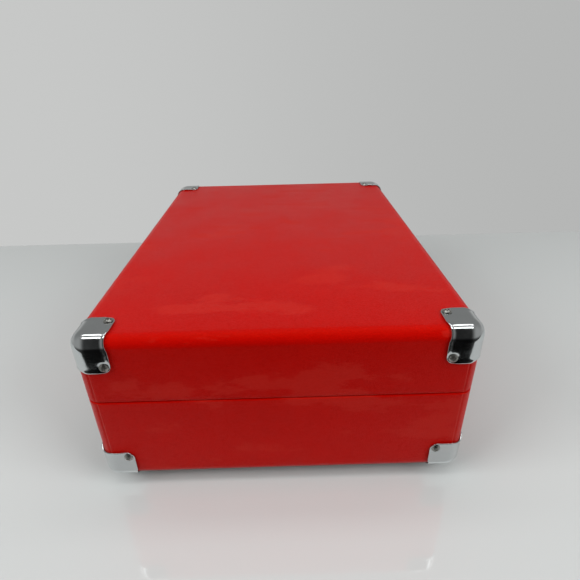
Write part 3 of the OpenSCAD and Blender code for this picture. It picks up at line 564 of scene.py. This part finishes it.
def case_half_shell(seam_z, side):
    """Outer skin, rolled lip at the split and inner walls of the lid (side 1) or lower half (side -1)."""
    work = bmesh.new()
    lo, hi = case_mid - case_half, case_mid + case_half
    # Finer lines across the upright corners, one of them where the top's rounding starts
    fillet = [corner_r * f for f in (0, 0.09, 0.18, 0.27, 0.36, 0.45, 0.54, 0.63, 0.7273, 0.86, 1)]
    seams = [SEAM_IN - SEAM_W / 2, SEAM_IN + SEAM_W / 2]
    xs = grid_lines(lo.x, hi.x, [lo.x + f for f in fillet] + [hi.x - f for f in fillet])
    ys = grid_lines(lo.y, hi.y, [lo.y + f for f in fillet + seams] + [hi.y - f for f in fillet + seams])
    rounds = [edge_r * i / 9 for i in range(10)]
    lips = [LIP * f for f in (0, 0.25, 0.5, 0.75, 1)]
    if side > 0:
        zs = grid_lines(seam_z, hi.z, [seam_z + f for f in lips] + [hi.z - f for f in rounds])
    else:
        zs = grid_lines(lo.z, seam_z, [lo.z + f for f in rounds] + [seam_z - f for f in lips])[::-1]
    cache = {}

    def vert(x, y, z):
        key = (round(x, 7), round(y, 7), round(z, 7))
        if key not in cache:
            p = case_point(Vector((x, y, z)))
            outward = (p - Vector((clamp(p.x - case_mid.x, case_half.x - corner_r) + case_mid.x,
                                   clamp(p.y - case_mid.y, case_half.y - corner_r) + case_mid.y,
                                   clamp(p.z - case_mid.z, case_half.z - edge_r) + case_mid.z)))
            outward = outward.normalized() if outward.length > TINY else Vector((0, 0, 1))
            from_lip = abs(z - seam_z)
            roll = 0.0
            if from_lip < LIP:
                roll = LIP - math.sqrt(LIP * LIP - (LIP - from_lip) ** 2)
            flat_outward = Vector((outward.x, outward.y, 0))
            flat_outward = flat_outward.normalized() if flat_outward.length > TINY else flat_outward
            p = p + outward * skin_wave(p) * smoothstep(from_lip, 0, 2 * LIP) - flat_outward * roll
            cache[key] = work.verts.new(p)
        return cache[key]

    around = ([(x, lo.y) for x in xs[:-1]] + [(hi.x, y) for y in ys[:-1]]
              + [(x, hi.y) for x in xs[:0:-1]] + [(lo.x, y) for y in ys[:0:-1]])
    rings = [[vert(x, y, z) for x, y in around] for z in zs]
    ring_strips(work, rings)
    if side > 0:
        for x0, x1 in zip(xs, xs[1:]):
            for y0, y1 in zip(ys, ys[1:]):
                work.faces.new([vert(x0, y0, hi.z), vert(x1, y0, hi.z), vert(x1, y1, hi.z), vert(x0, y1, hi.z)])
    end_z = hi.z - top_board if side > 0 else lo.z
    inner = []
    for z in (seam_z, seam_z + side * WRAP, end_z):
        corners = {}
        ring = []
        for x, y in around:
            at = (clamp(x - case_mid.x, case_half.x - wall), clamp(y - case_mid.y, case_half.y - wall))
            key = (round(at[0], 6), round(at[1], 6))
            if key not in corners:
                corners[key] = work.verts.new((at[0] + case_mid.x, at[1] + case_mid.y, z))
            ring.append(corners[key])
        inner.append(ring)
    ring_strips(work, [rings[0], *inner])
    if side > 0:
        work.faces.new(list(dict.fromkeys(inner[-1])))
    else:
        ring_strip(work, rings[-1], inner[-1])
    bmesh.ops.remove_doubles(work, verts=work.verts, dist=WELD)
    paint_inside(work, seam_z)
    return work


def box_cutter(low, high, radius):
    """A box to cut with, its edges along Y rounded."""
    work = bmesh.new()
    bmesh.ops.create_cube(work, size=1.0)
    size = Vector(high) - Vector(low)
    bmesh.ops.scale(work, vec=size, verts=work.verts)
    bmesh.ops.translate(work, vec=(Vector(low) + Vector(high)) / 2, verts=work.verts)
    along = [e for e in work.edges if abs((e.verts[0].co - e.verts[1].co).normalized().y) > 0.9]
    bmesh.ops.bevel(work, geom=along, offset=radius, segments=6, profile=0.5, affect="EDGES")
    return work


def round_cutter(centre, radius, depth):
    """A cylinder along Y to cut with."""
    work = bmesh.new()
    bmesh.ops.create_cone(work, cap_ends=True, segments=64, radius1=radius, radius2=radius, depth=depth)
    bmesh.ops.rotate(work, matrix=Matrix.Rotation(math.radians(90), 3, "X"), verts=work.verts)
    bmesh.ops.translate(work, vec=centre, verts=work.verts)
    return work


def cut(piece, cutters):
    """Takes the cutters' shapes out of a piece for good."""
    holders = []
    for i, work in enumerate(cutters):
        for face in work.faces:
            face.material_index = CUT
        holder = add_object(f"cutter_{i}", mesh_from(f"cutter_{i}", work))
        holders.append(holder)
        for _ in piece.data.materials:
            holder.data.materials.append(None)
        modifier(piece, "BOOLEAN", operation="DIFFERENCE", solver="EXACT", object=holder, material_mode="INDEX")
    bpy.context.view_layer.update()
    seen = piece.evaluated_get(bpy.context.evaluated_depsgraph_get())
    mesh = bpy.data.meshes.new_from_object(seen)
    piece.modifiers.clear()
    old = piece.data
    piece.data = mesh
    mesh.name = piece.name
    bpy.data.meshes.remove(old)
    for holder in holders:
        bpy.data.objects.remove(holder)


def paint_inside(work, rim_z):
    """Gives the overlap seams the lighter red, a painted highlight of the seam's step, and bare board to the inside
    beyond the turned-in leatherette.
    """
    for face in work.faces:
        middle = face.calc_center_median()
        at = middle - case_mid
        on_seam = abs(abs(at.y) - case_half.y + SEAM_IN) < SEAM_W * 0.6 and abs(at.x) > case_half.x - 0.6 * MM
        # The seam's strip gets the lighter red, a painted highlight
        if on_seam:
            face.material_index = SEAM_HIGHLIGHT
        if abs(middle.z - rim_z) < WRAP:
            continue
        inner_x, inner_y = abs(at.x) < case_half.x - wall + WELD, abs(at.y) < case_half.y - wall + WELD
        on_top = abs(at.z) > case_half.z - top_board + WELD
        if inner_x and inner_y and not on_top:
            face.material_index = BARE


def make_lid():
    work = case_half_shell(lid_lo.z, 1)
    add_piece("lid_leatherette", work, "lid", [red_lid, red_seam_highlight, wood], ["lid_case"])


def make_base():
    """Lower half, with the grilles' recesses, the sound holes behind them and the opening for the sockets."""
    work = case_half_shell(base_hi.z, -1)
    materials = [red_base, red_seam_highlight, wood, baffle_cloth]
    piece = add_piece("base_leatherette", work, "base", materials, ["base_case"])
    front, rear = base_lo.y, base_hi.y
    room, recess_deep, recess_r, hole_r = 0.2 * MM, 2.2 * MM, 3.2 * MM, 17 * MM
    cutters = []
    for name in ("speaker_grille_left", "speaker_grille_right"):
        lo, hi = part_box(name)
        cutters.append(box_cutter((lo.x - room, front - 5 * MM, lo.z - room),
                                  (hi.x + room, lo.y + recess_deep, hi.z + room), recess_r))
        centre = Vector(((lo.x + hi.x) / 2, front + wall / 2, (lo.z + hi.z) / 2))
        cutters.append(round_cutter(centre, hole_r, wall * 1.5))
    lo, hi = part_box("jack_plate")
    rim_x, rim_z, opening_r = 9 * MM, 4 * MM, 2 * MM
    cutters.append(box_cutter((lo.x + rim_x, rear - wall * 1.2, lo.z + rim_z),
                              (hi.x - rim_x, rear + 1 * MM, hi.z - rim_z), opening_r))
    cut(piece, cutters)
    finish_mesh(piece.data)


# ------------------------ corner caps

CAP_REACH = 24.3 * MM
CAP_EAR = 5.5 * MM
CAP_SCOOP = 26 * MM
CAP_SCOOP_DEPTH = 1.3 * MM
CAP_GAP = 0.05 * MM
CAP_SHEET = 1.0 * MM
CAP_SCREW = 20 * MM
CAP_DISH = 0.32 * MM
CAP_LIFT = 0.3 * MM
CAP_ROUND = 0.32 * MM
CAP_STEPS = 30


def cap_outline(u, v):
    """Rounds a flange's free corner and scoops its free edges, in distances from the case's edges."""
    core = CAP_REACH - CAP_EAR
    du, dv = max(u - core, 0.0), max(v - core, 0.0)
    if du > 0 and dv > 0:
        scale = max(du, dv) / math.hypot(du, dv)
        u, v = core + du * scale, core + dv * scale
    scoop_u = max(CAP_SCOOP_DEPTH - v * v / (2 * CAP_SCOOP), 0.0)
    scoop_v = max(CAP_SCOOP_DEPTH - u * u / (2 * CAP_SCOOP), 0.0)
    return u - scoop_u * (u / CAP_REACH) ** 4, v - scoop_v * (v / CAP_REACH) ** 4


def cap_dish(u, v):
    """Depth of the pressed dish round a flange's screw, less the lift of the flange's free edges."""
    away = math.hypot(u - CAP_SCREW, v - CAP_SCREW)
    lift = CAP_LIFT * smoothstep(max(u, v), CAP_REACH - 3.2 * MM, CAP_REACH) * smoothstep(away, 3.5 * MM, 6 * MM)
    return CAP_DISH * (1 - smoothstep(away, 2.2 * MM, 4.4 * MM)) - lift


def make_cap(node_name, sx, sy, sz):
    """One chromed cap of three flanges, pressed over the corner with these signs."""
    work = bmesh.new()
    sign = Vector((sx, sy, sz))
    cache = {}

    def vert(i, j, k):
        """Lattice point at steps i, j and k from the corner along X, Y and Z, where one of them is 0."""
        if (i, j, k) not in cache:
            step = CAP_REACH / CAP_STEPS
            inset = [i * step, j * step, k * step]
            a, b = (0, 1) if k == 0 else (0, 2) if j == 0 else (1, 2)
            dish = cap_dish(inset[a], inset[b])
            inset[a], inset[b] = cap_outline(inset[a], inset[b])
            p = case_mid + (case_half - Vector(inset)) * sign
            cache[(i, j, k)] = work.verts.new(case_point(p, CAP_GAP - dish))
        return cache[(i, j, k)]

    flanges = (lambda m, n: (m, n, 0), lambda m, n: (m, 0, n), lambda m, n: (0, m, n))
    for a in range(CAP_STEPS):
        for b in range(CAP_STEPS):
            for place in flanges:
                square = ((a, b), (a + 1, b), (a + 1, b + 1), (a, b + 1))
                work.faces.new([vert(*place(m, n)) for m, n in square])
    bmesh.ops.recalc_face_normals(work, faces=work.faces)
    work.faces.ensure_lookup_table()
    # One face of the top or bottom flange tells which way the sheet looks
    top = work.faces[3 * CAP_STEPS * (CAP_STEPS - 1)]
    if top.normal.dot(top.calc_center_median() - case_mid) < 0:
        bmesh.ops.reverse_faces(work, faces=work.faces)
    piece = stand_for(node_name, "_pressed", work, cap_chrome, None)
    modifier(piece, "SOLIDIFY", thickness=CAP_SHEET, offset=1.0, use_even_offset=True)
    modifier(piece, "BEVEL", width=CAP_ROUND, segments=3, limit_method="ANGLE", angle_limit=math.radians(55))


# ------------------------ screws

SCREW_SIDES = 40
SCREW_RINGS = 13
# As shares of the head's height: the cross's depth, and the crown's extra rise
CROSS_DEEP = 0.62
CROWN = 0.12


def cross_depth(r, angle, head_r):
    """How deep the driver's cross goes at this place on a head, from 0 to 1."""
    x, y = abs(r * math.cos(angle)), abs(r * math.sin(angle))
    long_way, short_way = max(x, y), min(x, y)
    arm = 1 - smoothstep(short_way, 0.07 * head_r, 0.17 * head_r)
    end = 1 - smoothstep(long_way, 0.42 * head_r, 0.62 * head_r)
    return arm * end


def add_screw(work, base, axis, head_r, head_h, shank_r, shank_l, turn):
    """A domed cross-head screw whose head starts at base and stands out along axis."""
    angles = round_angles(SCREW_SIDES)
    dome_r = (head_r ** 2 + head_h ** 2) / (2 * head_h)
    side = axis.orthogonal().normalized()
    up = axis.cross(side)

    def point(r, angle, z):
        return base + side * (r * math.cos(angle)) + up * (r * math.sin(angle)) + axis * z

    rings = []
    for i in range(1, SCREW_RINGS + 1):
        r = head_r * i / SCREW_RINGS
        dome = math.sqrt(dome_r ** 2 - r ** 2) - (dome_r - head_h)
        crown = CROWN * head_h * (1 - i / SCREW_RINGS)
        ring = []
        for angle in angles:
            sunk = CROSS_DEEP * head_h * cross_depth(r, angle + turn, head_r)
            ring.append(work.verts.new(point(r, angle, max(dome - sunk, 0.0) + crown)))
        rings.append(ring)
    centre = work.verts.new(point(0, 0, head_h * (1 - CROSS_DEEP)))
    for k in range(SCREW_SIDES):
        work.faces.new([centre, rings[0][k], rings[0][(k + 1) % SCREW_SIDES]])
    ring_strips(work, rings)
    under = [work.verts.new(point(shank_r, a, 0.0)) for a in angles]
    tip = [work.verts.new(point(shank_r * 0.8, a, -shank_l)) for a in angles]
    ring_strip(work, rings[-1], under)
    ring_strip(work, under, tip)
    work.faces.new(tip)


def make_screws(name, material):
    """Stands for a node of CAD screws: each solid gives its place, its direction and its sizes."""
    turns = random.Random(len(name))
    work = bmesh.new()
    for points in loose_parts(name):
        low, high = corners_of(points)
        size = high - low
        long_axis = max(range(3), key=lambda i: size[i])
        axis = Vector([float(i == long_axis) for i in range(3)])
        middle = (low + high) / 2

        def away(p):
            flat = p - middle
            return (flat - axis * flat.dot(axis)).length

        head_r = max(map(away, points))
        rim = [p for p in points if away(p) > head_r * 0.98]
        rim_at = sum(p[long_axis] for p in rim) / len(rim)
        tip_at, crown_at = low[long_axis], high[long_axis]
        if rim_at < middle[long_axis]:
            axis = -axis
            tip_at, crown_at = crown_at, tip_at
        base = middle.copy()
        base[long_axis] = rim_at
        shank_r = min(away(p) for p in points if abs(p[long_axis] - tip_at) < WELD)
        shank_r = max(shank_r, 0.4 * head_r)
        add_screw(work, base, axis, head_r, abs(crown_at - rim_at), shank_r, abs(rim_at - tip_at),
                  turns.uniform(0, math.pi))
    stand_for(name, "_crossed", work, material, 50)


# ------------------------ handle

def make_handle():
    """Padded grip on two legs: one sweep along a U, stitched along its inner edge."""
    lo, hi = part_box("handle_grip")
    pin_lo, pin_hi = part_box("handle_pins")
    axis_z = (pin_lo.z + pin_hi.z) / 2
    grip_r = (hi.y - lo.y) / 2
    grip_z = lo.z + grip_r
    mid_y = (lo.y + hi.y) / 2
    leg_x, bend, eye_r = hi.x - 6 * MM, 6.5 * MM, 4.0 * MM
    leg_steps, grip_steps, sides = 8, 40, 28
    path = [(leg_x, axis_z - (axis_z - grip_z - bend) * i / leg_steps) for i in range(leg_steps + 1)]
    for i in range(1, leg_steps + 1):
        a = math.radians(90) * i / leg_steps
        path.append((leg_x - bend + bend * math.cos(a), grip_z + bend - bend * math.sin(a)))
    span = leg_x - bend
    grip = [(span - 2 * span * i / grip_steps, grip_z) for i in range(1, grip_steps)]
    path += grip + [(-x, z) for x, z in reversed(path)]
    work = bmesh.new()
    rings = []
    for i, (x, z) in enumerate(path):
        before, after = path[max(i - 1, 0)], path[min(i + 1, len(path) - 1)]
        along = Vector((after[0] - before[0], 0, after[1] - before[1])).normalized()
        across = Vector((0, 1, 0)).cross(along).normalized()
        pad = 1 - smoothstep(abs(x), leg_x - 16 * MM, leg_x - 4 * MM)
        thick_y = 3.5 * MM + (grip_r - 3.6 * MM) * pad
        thick_n = 4.0 * MM + (grip_r - 4.3 * MM) * pad
        square = 3.4 - 1.2 * pad
        ring = []
        for a in round_angles(sides):
            c, s = math.cos(a), math.sin(a)
            cy = math.copysign(abs(c) ** (2 / square), c) * thick_y
            cn = math.copysign(abs(s) ** (2 / square), s) * thick_n
            p = Vector((x, mid_y, z)) + Vector((0, 1, 0)) * cy + across * cn
            ring.append(work.verts.new(p))
        rings.append(ring)
    ring_strips(work, rings)
    for ring, x in ((rings[0], leg_x), (rings[-1], -leg_x)):
        centre = Vector((x, mid_y, axis_z))
        eye = [ring]
        for step in (0.35, 0.65, 0.85, 0.97):
            shrink = math.sqrt(1 - step * step)
            flats = [vert.co - centre for vert in ring]
            eye.append([work.verts.new(centre + Vector((f.x * (0.7 + 0.3 * shrink), f.y * shrink, eye_r * step)))
                        for f in flats])
        ring_strips(work, eye)
        work.faces.new(eye[-1])
    piece = add_piece("handle_padded", work, "handle", red_handle, ["handle_grip"], 60)
    thread = bmesh.new()
    pitch, length, thread_r, seam_angle = 4.2 * MM, 3.0 * MM, 0.42 * MM, math.radians(62)
    run = int((leg_x - 14 * MM) / pitch)
    for side in (-1, 1):
        y = mid_y + side * (grip_r - 0.1 * MM) * math.cos(seam_angle) * 0.98
        z = grip_z + (grip_r - 0.3 * MM) * math.sin(seam_angle) * 0.995
        for i in range(-run, run + 1):
            add_stitch(thread, Vector((i * pitch, y, z)), length, thread_r)
    add_piece("handle_stitches", thread, "handle", thread_red, (), 80)


def add_stitch(work, middle, length, radius):
    """A short stitch along X, sunk at both ends."""
    rings = []
    for i in range(7):
        t = i / 6
        x = (t - 0.5) * length
        sink = (2 * t - 1) ** 2 * radius * 1.1
        r = radius * (1 - 0.35 * (2 * t - 1) ** 4)
        rings.append([work.verts.new(middle + Vector((x, r * math.cos(a), r * math.sin(a) - sink)))
                      for a in round_angles(8)])
    ring_strips(work, rings)
    work.faces.new(rings[0])
    work.faces.new(rings[-1])


# ------------------------ turned pieces

def lathe(work, centre, profile, segments, ribs=0, rib_depth=0.0):
    """Turns (radius, height) points round the Z axis through centre. A point with a third value has the ribs."""
    rings = []
    for r, z, *ribbed in profile:
        ring = []
        for a in round_angles(segments):
            reach = r - (rib_depth * (0.5 - 0.5 * math.cos(a * ribs)) ** 0.6 if ribbed else 0.0)
            ring.append(work.verts.new(centre + Vector((reach * math.cos(a), reach * math.sin(a), z))))
        rings.append(ring)
    ring_strips(work, rings)
    return rings


def make_mat():
    """Felt slip mat with a soft edge and a slightly uneven surface."""
    lo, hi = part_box("slip_mat")
    outer = (hi.x - lo.x) / 2
    thick = hi.z - lo.z
    hole_r, flat_from, flat_to, flat_steps = 9 * MM, 9.4 * MM, outer - 0.8 * MM, 26
    work = bmesh.new()
    profile = [(hole_r, lo.z), (hole_r, hi.z - thick * 0.35), (flat_from, hi.z - 0.05 * MM)]
    for i in range(1, flat_steps):
        profile.append((flat_from + (flat_to - flat_from) * i / flat_steps, hi.z))
    profile += [(flat_to, hi.z), (outer - 0.2 * MM, hi.z - 0.25 * MM), (outer, hi.z - thick * 0.55),
                (outer - 0.1 * MM, lo.z)]
    rings = lathe(work, plan_middle(lo, hi), profile, 128)
    ring_strip(work, rings[-1], rings[0])
    wave_deep, wave_wide = 0.10 * MM, 14 * MM
    for vert in work.verts:
        if vert.co.z > hi.z - 0.06 * MM:
            vert.co.z -= wave_deep * (0.5 + 0.5 * noise.noise(vert.co / wave_wide))
    add_piece("felt_slip_mat", work, "turntable", mat_felt, ["slip_mat"], 60)


def make_knob(name, ribs, pointer_turn):
    """Ribbed control knob with a dished top, and a white pointer line turned that many degrees from +Y."""
    lo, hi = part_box(name)
    centre = plan_middle(lo, hi)
    r = (hi.x - lo.x) / 2
    low = deck_top + 0.5 * MM
    work = bmesh.new()
    profile = [(3 * MM, lo.z), (3 * MM, low), (r - 0.3 * MM, low), (r, low + 0.4 * MM), (r, low + 1.5 * MM),
               (r - 0.5 * MM, low + 2.0 * MM), (r - 1.7 * MM, low + 2.3 * MM, 1), (r - 1.9 * MM, low + 4 * MM, 1),
               (r - 2.2 * MM, hi.z - 1.2 * MM, 1), (r - 2.5 * MM, hi.z - 0.4 * MM), (r - 3.0 * MM, hi.z),
               (r - 3.8 * MM, hi.z - 0.05 * MM), (r - 4.6 * MM, hi.z - 0.35 * MM), (1 * MM, hi.z - 0.5 * MM)]
    rings = lathe(work, centre, profile, 144, ribs, 0.55 * MM)
    work.faces.new(rings[0])
    work.faces.new(rings[-1])
    stand_for(name, "_ribbed", work, satin_black, 34)
    line = bmesh.new()
    long, start = r - 4.2 * MM, 1.2 * MM
    bmesh.ops.create_cube(line, size=1.0)
    bmesh.ops.scale(line, vec=(0.9 * MM, long, 0.5 * MM), verts=line.verts)
    bmesh.ops.bevel(line, geom=line.edges[:], offset=0.12 * MM, segments=2, profile=0.5, affect="EDGES")
    bmesh.ops.translate(line, vec=(0, long / 2 + start, hi.z - 0.3 * MM), verts=line.verts)
    bmesh.ops.rotate(line, matrix=Matrix.Rotation(math.radians(pointer_turn), 3, "Z"), verts=line.verts)
    bmesh.ops.translate(line, vec=centre, verts=line.verts)
    add_piece(name + "_pointer", line, nodes[name]["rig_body"], white_paint, (), 40)


# ------------------------ printed marks and sockets

TICK_W = 0.4 * MM
INK = 0.08 * MM


def add_bar(work, centre, length, turn=0.0):
    """A printed tick of that length, lying on the deck."""
    made = bmesh.ops.create_cube(work, size=1.0)["verts"]
    bmesh.ops.scale(work, vec=(length, TICK_W, INK), verts=made)
    bmesh.ops.rotate(work, matrix=Matrix.Rotation(turn, 3, "Z"), verts=made)
    bmesh.ops.translate(work, vec=centre, verts=made)


def make_deck_marks():
    """Printed ticks round the knobs and beside the slide switches."""
    work = bmesh.new()
    ink_z = deck_top + 0.03 * MM
    for name, count, spread in (("volume_knob", 11, 270), ("function_knob", 3, 90)):
        lo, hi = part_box(name)
        centre = (lo + hi) / 2
        reach = (hi.x - lo.x) / 2 + 2.4 * MM
        for i in range(count):
            a = math.radians(90 + spread * (i / (count - 1) - 0.5))
            at = (centre.x + reach * math.cos(a), centre.y + reach * math.sin(a), ink_z)
            add_bar(work, at, 1.9 * MM if i % 5 == 0 else 1.3 * MM, a)
    for name in ("speed_switch", "auto_stop_switch"):
        lo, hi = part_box(name)
        for travel in (0, 5 * MM, 10 * MM):
            add_bar(work, (lo.x - 2.6 * MM, (lo.y + hi.y) / 2 + travel, ink_z), 2 * MM)
    add_piece("deck_marks", work, "base", white_paint, (), 40)


def add_tube_y(work, centre, rings):
    """A ring-shaped solid round an axis along Y, from (radius, y) points."""
    loops = []
    for r, y in rings:
        loops.append([work.verts.new((centre.x + r * math.cos(a), y, centre.z + r * math.sin(a)))
                      for a in round_angles(40)])
    ring_strips(work, loops + loops[:1])


def make_sockets():
    """Coloured collars round the two phono sockets and the pin in the power socket."""
    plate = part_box("jack_plate")[1].y
    parts = []
    for points in loose_parts("rear_jacks"):
        low, high = corners_of(points)
        parts.append(((low + high) / 2, (high.x - low.x) / 2, high.y))
    # The two phono sockets stand out furthest
    parts.sort(key=lambda part: -part[2])
    phono, others = sorted(parts[:2], key=lambda part: part[0].x), parts[2:]
    rim, out, edge = 1.3 * MM, 1.5 * MM, 0.3 * MM
    for (centre, radius, _), material in zip(phono, (red_plastic, white_paint)):
        work = bmesh.new()
        bore = radius + 0.05 * MM
        add_tube_y(work, centre, [(bore, plate), (radius + rim, plate), (radius + rim, plate + out - edge),
                                  (radius + rim - edge, plate + out), (bore, plate + out)])
        add_piece("phono_collar_" + material.name, work, "base", material, (), 40)
    power = max(others, key=lambda part: part[0].x)[0]
    work = bmesh.new()
    axis_r, pin_r = 0.01 * MM, 0.55 * MM
    add_tube_y(work, power, [(axis_r, plate - 3 * MM), (pin_r, plate - 3 * MM), (pin_r, plate - 0.9 * MM),
                             (pin_r * 0.6, plate - 0.5 * MM), (axis_r, plate - 0.45 * MM)])
    add_piece("power_pin", work, "base", plain_steel, (), 40)


# ------------------------ making the object

make_lid()
make_base()
for level, sz in (("lid", 1), ("base", -1)):
    for face, sy in (("front", -1), ("rear", 1)):
        for side, sx in (("left", -1), ("right", 1)):
            make_cap(f"{level}_corner_{face}_{side}", sx, sy, sz)
make_screws("lid_screws", screw_steel)
make_screws("base_screws", screw_steel)
make_screws("deck_screws", dark_steel)
make_handle()
make_mat()
make_knob("volume_knob", 24, 135)
make_knob("function_knob", 20, 45)
make_deck_marks()
make_sockets()

# The other CAD nodes: their material, the width in mm to which edges are rounded, and their names
LOOKS = [
    (plate_chrome, 0.25, "hinge_base_leaves hinge_lid_leaves handle_brackets latch_base_plates latch_lid_plates"),
    (plate_chrome, 0.3, "latch_slider_left latch_slider_right latch_hasp_left latch_hasp_right"),
    (grille_paint, 0.3, "speaker_grille_left speaker_grille_right"),
    (black_rubber, 0.8, "rubber_feet"),
    (satin_black, 0.3, "jack_plate"),
    (gold, 0.25, "rear_jacks"),
    (deck_black, 0.4, "deck_plate"),
    (satin_black, 0.5, "platter"),
    (gloss_black, 0.5, "adapter_45"),
    (satin_black, 0.6, "tonearm_base"),
    (gloss_black, 0.5, "tonearm_yoke"),
    (gloss_black, 0.6, "tonearm_tube"),
    (red_plastic, 0.3, "cartridge"),
    (satin_black, 0.3, "arm_rest"),
    (gloss_black, 0.3, "arm_clip"),
    (gloss_black, 0.4, "cue_lever"),
    (grey_plastic, 0.3, "speed_switch auto_stop_switch"),
    (liner_cloth, 0.3, "lid_liner"),
    (plain_steel, 0, "hinge_pins handle_pins latch_pins spindle"),
    (dark_steel, 0, "platter_clip"),
    (zinc, 0, "speaker_frames motor"),
    (brass, 0, "motor_pulley"),
    (black_rubber, 0, "drive_belt cue_platform"),
    (hardboard, 0, "bottom_panel"),
    (cone_paper, 0, "speaker_cones"),
    (pot_plastic, 0, "control_pots"),
    (lamp_red, 0, "power_light"),
    (board_green, 0, "circuit_board"),
    (satin_black, 0, "board_parts"),
]
for material, width, names in LOOKS:
    for name in names.split():
        if width:
            rounded_copy(name, material, width * MM)
        else:
            nodes[name].data.materials.clear()
            nodes[name].data.materials.append(material)


# ------------------------ table, light and camera

def make_table():
    """Pale glossy table top, its surface at z = 0."""
    made, tree, shader = new_material("table_gloss", Base_Color=(0.54, 0.56, 0.555), Specular_IOR_Level=1.0, IOR=1.65)
    at = object_at(tree)
    drive(tree, shader, Roughness=noise_to(tree, noise_at(tree, at, 60 * MM, 4.0), 0.03, 0.07))
    work = bmesh.new()
    deep, wide = 0.6, 3.0
    bmesh.ops.create_grid(work, x_segments=2, y_segments=2, size=0.5)
    bmesh.ops.scale(work, vec=(deep, wide, 1), verts=work.verts)
    table = add_object("table_top", mesh_from("table_top", work))
    table.data.materials.append(made)


def make_light(name, size, energy, at, target, in_mirrors=True):
    """A soft rectangular lamp, which glossy surfaces reflect unless in_mirrors is off."""
    lamp = bpy.data.lights.new(name, "AREA")
    lamp.shape = "RECTANGLE"
    lamp.size, lamp.size_y = size
    lamp.energy = energy
    holder = add_object(name, lamp)
    holder.visible_glossy = in_mirrors
    holder.location = at
    holder.rotation_euler = (Vector(target) - Vector(at)).to_track_quat("-Z", "Y").to_euler()


def make_world():
    """Soft surroundings: a pale wall behind the object, darker above it and dark behind the camera.

    The camera itself sees a plain grey backdrop, paler at its left.
    """
    world = bpy.data.worlds.new("studio")
    bpy.context.scene.world = world
    world.use_nodes = True
    tree = world.node_tree
    backdrop = tree.nodes["Background"]
    at = node(tree, "ShaderNodeTexCoord", output="Generated")
    split = tree.nodes.new("ShaderNodeSeparateXYZ")
    tree.links.new(at, split.inputs[0])
    behind = remap(tree, split.outputs["X"], 0.25, -0.45)
    wall_grey = remap(tree, split.outputs["Z"], 0.02, 0.4, 0.55, 0.28)
    aside = remap(tree, math_node(tree, "ABSOLUTE", split.outputs["Y"]), 0.35, 0.8, 0.02, 0.4)
    around = node(tree, "ShaderNodeMix", {0: behind, 2: aside, 3: wall_grey})
    low = remap(tree, split.outputs["Z"], -0.3, 0.02, 0.15, 1.0)
    strength = times(tree, around, low)
    seen = node(tree, "ShaderNodeLightPath", output="Is Camera Ray")
    wall_seen = remap(tree, split.outputs["Y"], -0.6, 0.6, 0.58, 0.47)
    grey = node(tree, "ShaderNodeMix", {0: seen, 2: strength, 3: wall_seen})
    tree.links.new(grey, backdrop.inputs["Strength"])
    backdrop.inputs["Color"].default_value = (0.99, 1.0, 0.99, 1)


CAMERA_LENS = 27.02
CAMERA_SENSOR = 36
CAMERA_AT = (0.3894, 0.00875, 0.2726)
CAMERA_TURN = (28.28, -1.40, 0.78)


def make_camera():
    """Camera at the photograph's viewpoint, fitted to the case's edges, split line and cap screws.

    CAMERA_TURN is the fit's rotation vector in degrees. The fit's X and Y lie along the part's Y and -X.
    """
    lens_data = bpy.data.cameras.new("camera")
    lens_data.lens = CAMERA_LENS
    lens_data.sensor_width = CAMERA_SENSOR
    holder = add_object("camera", lens_data)
    turn = Vector(map(math.radians, CAMERA_TURN))
    seen = Matrix.Rotation(turn.length, 3, turn.normalized())
    right, forward, up = (Vector((-row.y, row.x, row.z)) for row in seen)
    rotation = Matrix((right, up, -forward)).transposed()
    holder.matrix_world = Matrix.Translation(CAMERA_AT) @ rotation.to_4x4()
    bpy.context.scene.camera = holder


make_table()
make_world()
make_light("ceiling_light_far", (0.22, 1.9), 4.2, (-0.2, 0.0, 1.35), (-0.2, 0.0, 0))
make_light("ceiling_light_near", (0.28, 1.9), 5.4, (0.34, 0.0, 1.35), (0.34, 0.0, 0))
make_light("window_left", (0.9, 0.7), 14, (0.6, -1.1, 0.9), (0.1, 0, 0.06), in_mirrors=False)
make_light("window_right", (0.8, 0.7), 13, (0.75, 1.05, 0.85), (0.1, 0, 0.06), in_mirrors=False)
make_camera()
bpy.context.scene.view_settings.view_transform = "Standard"
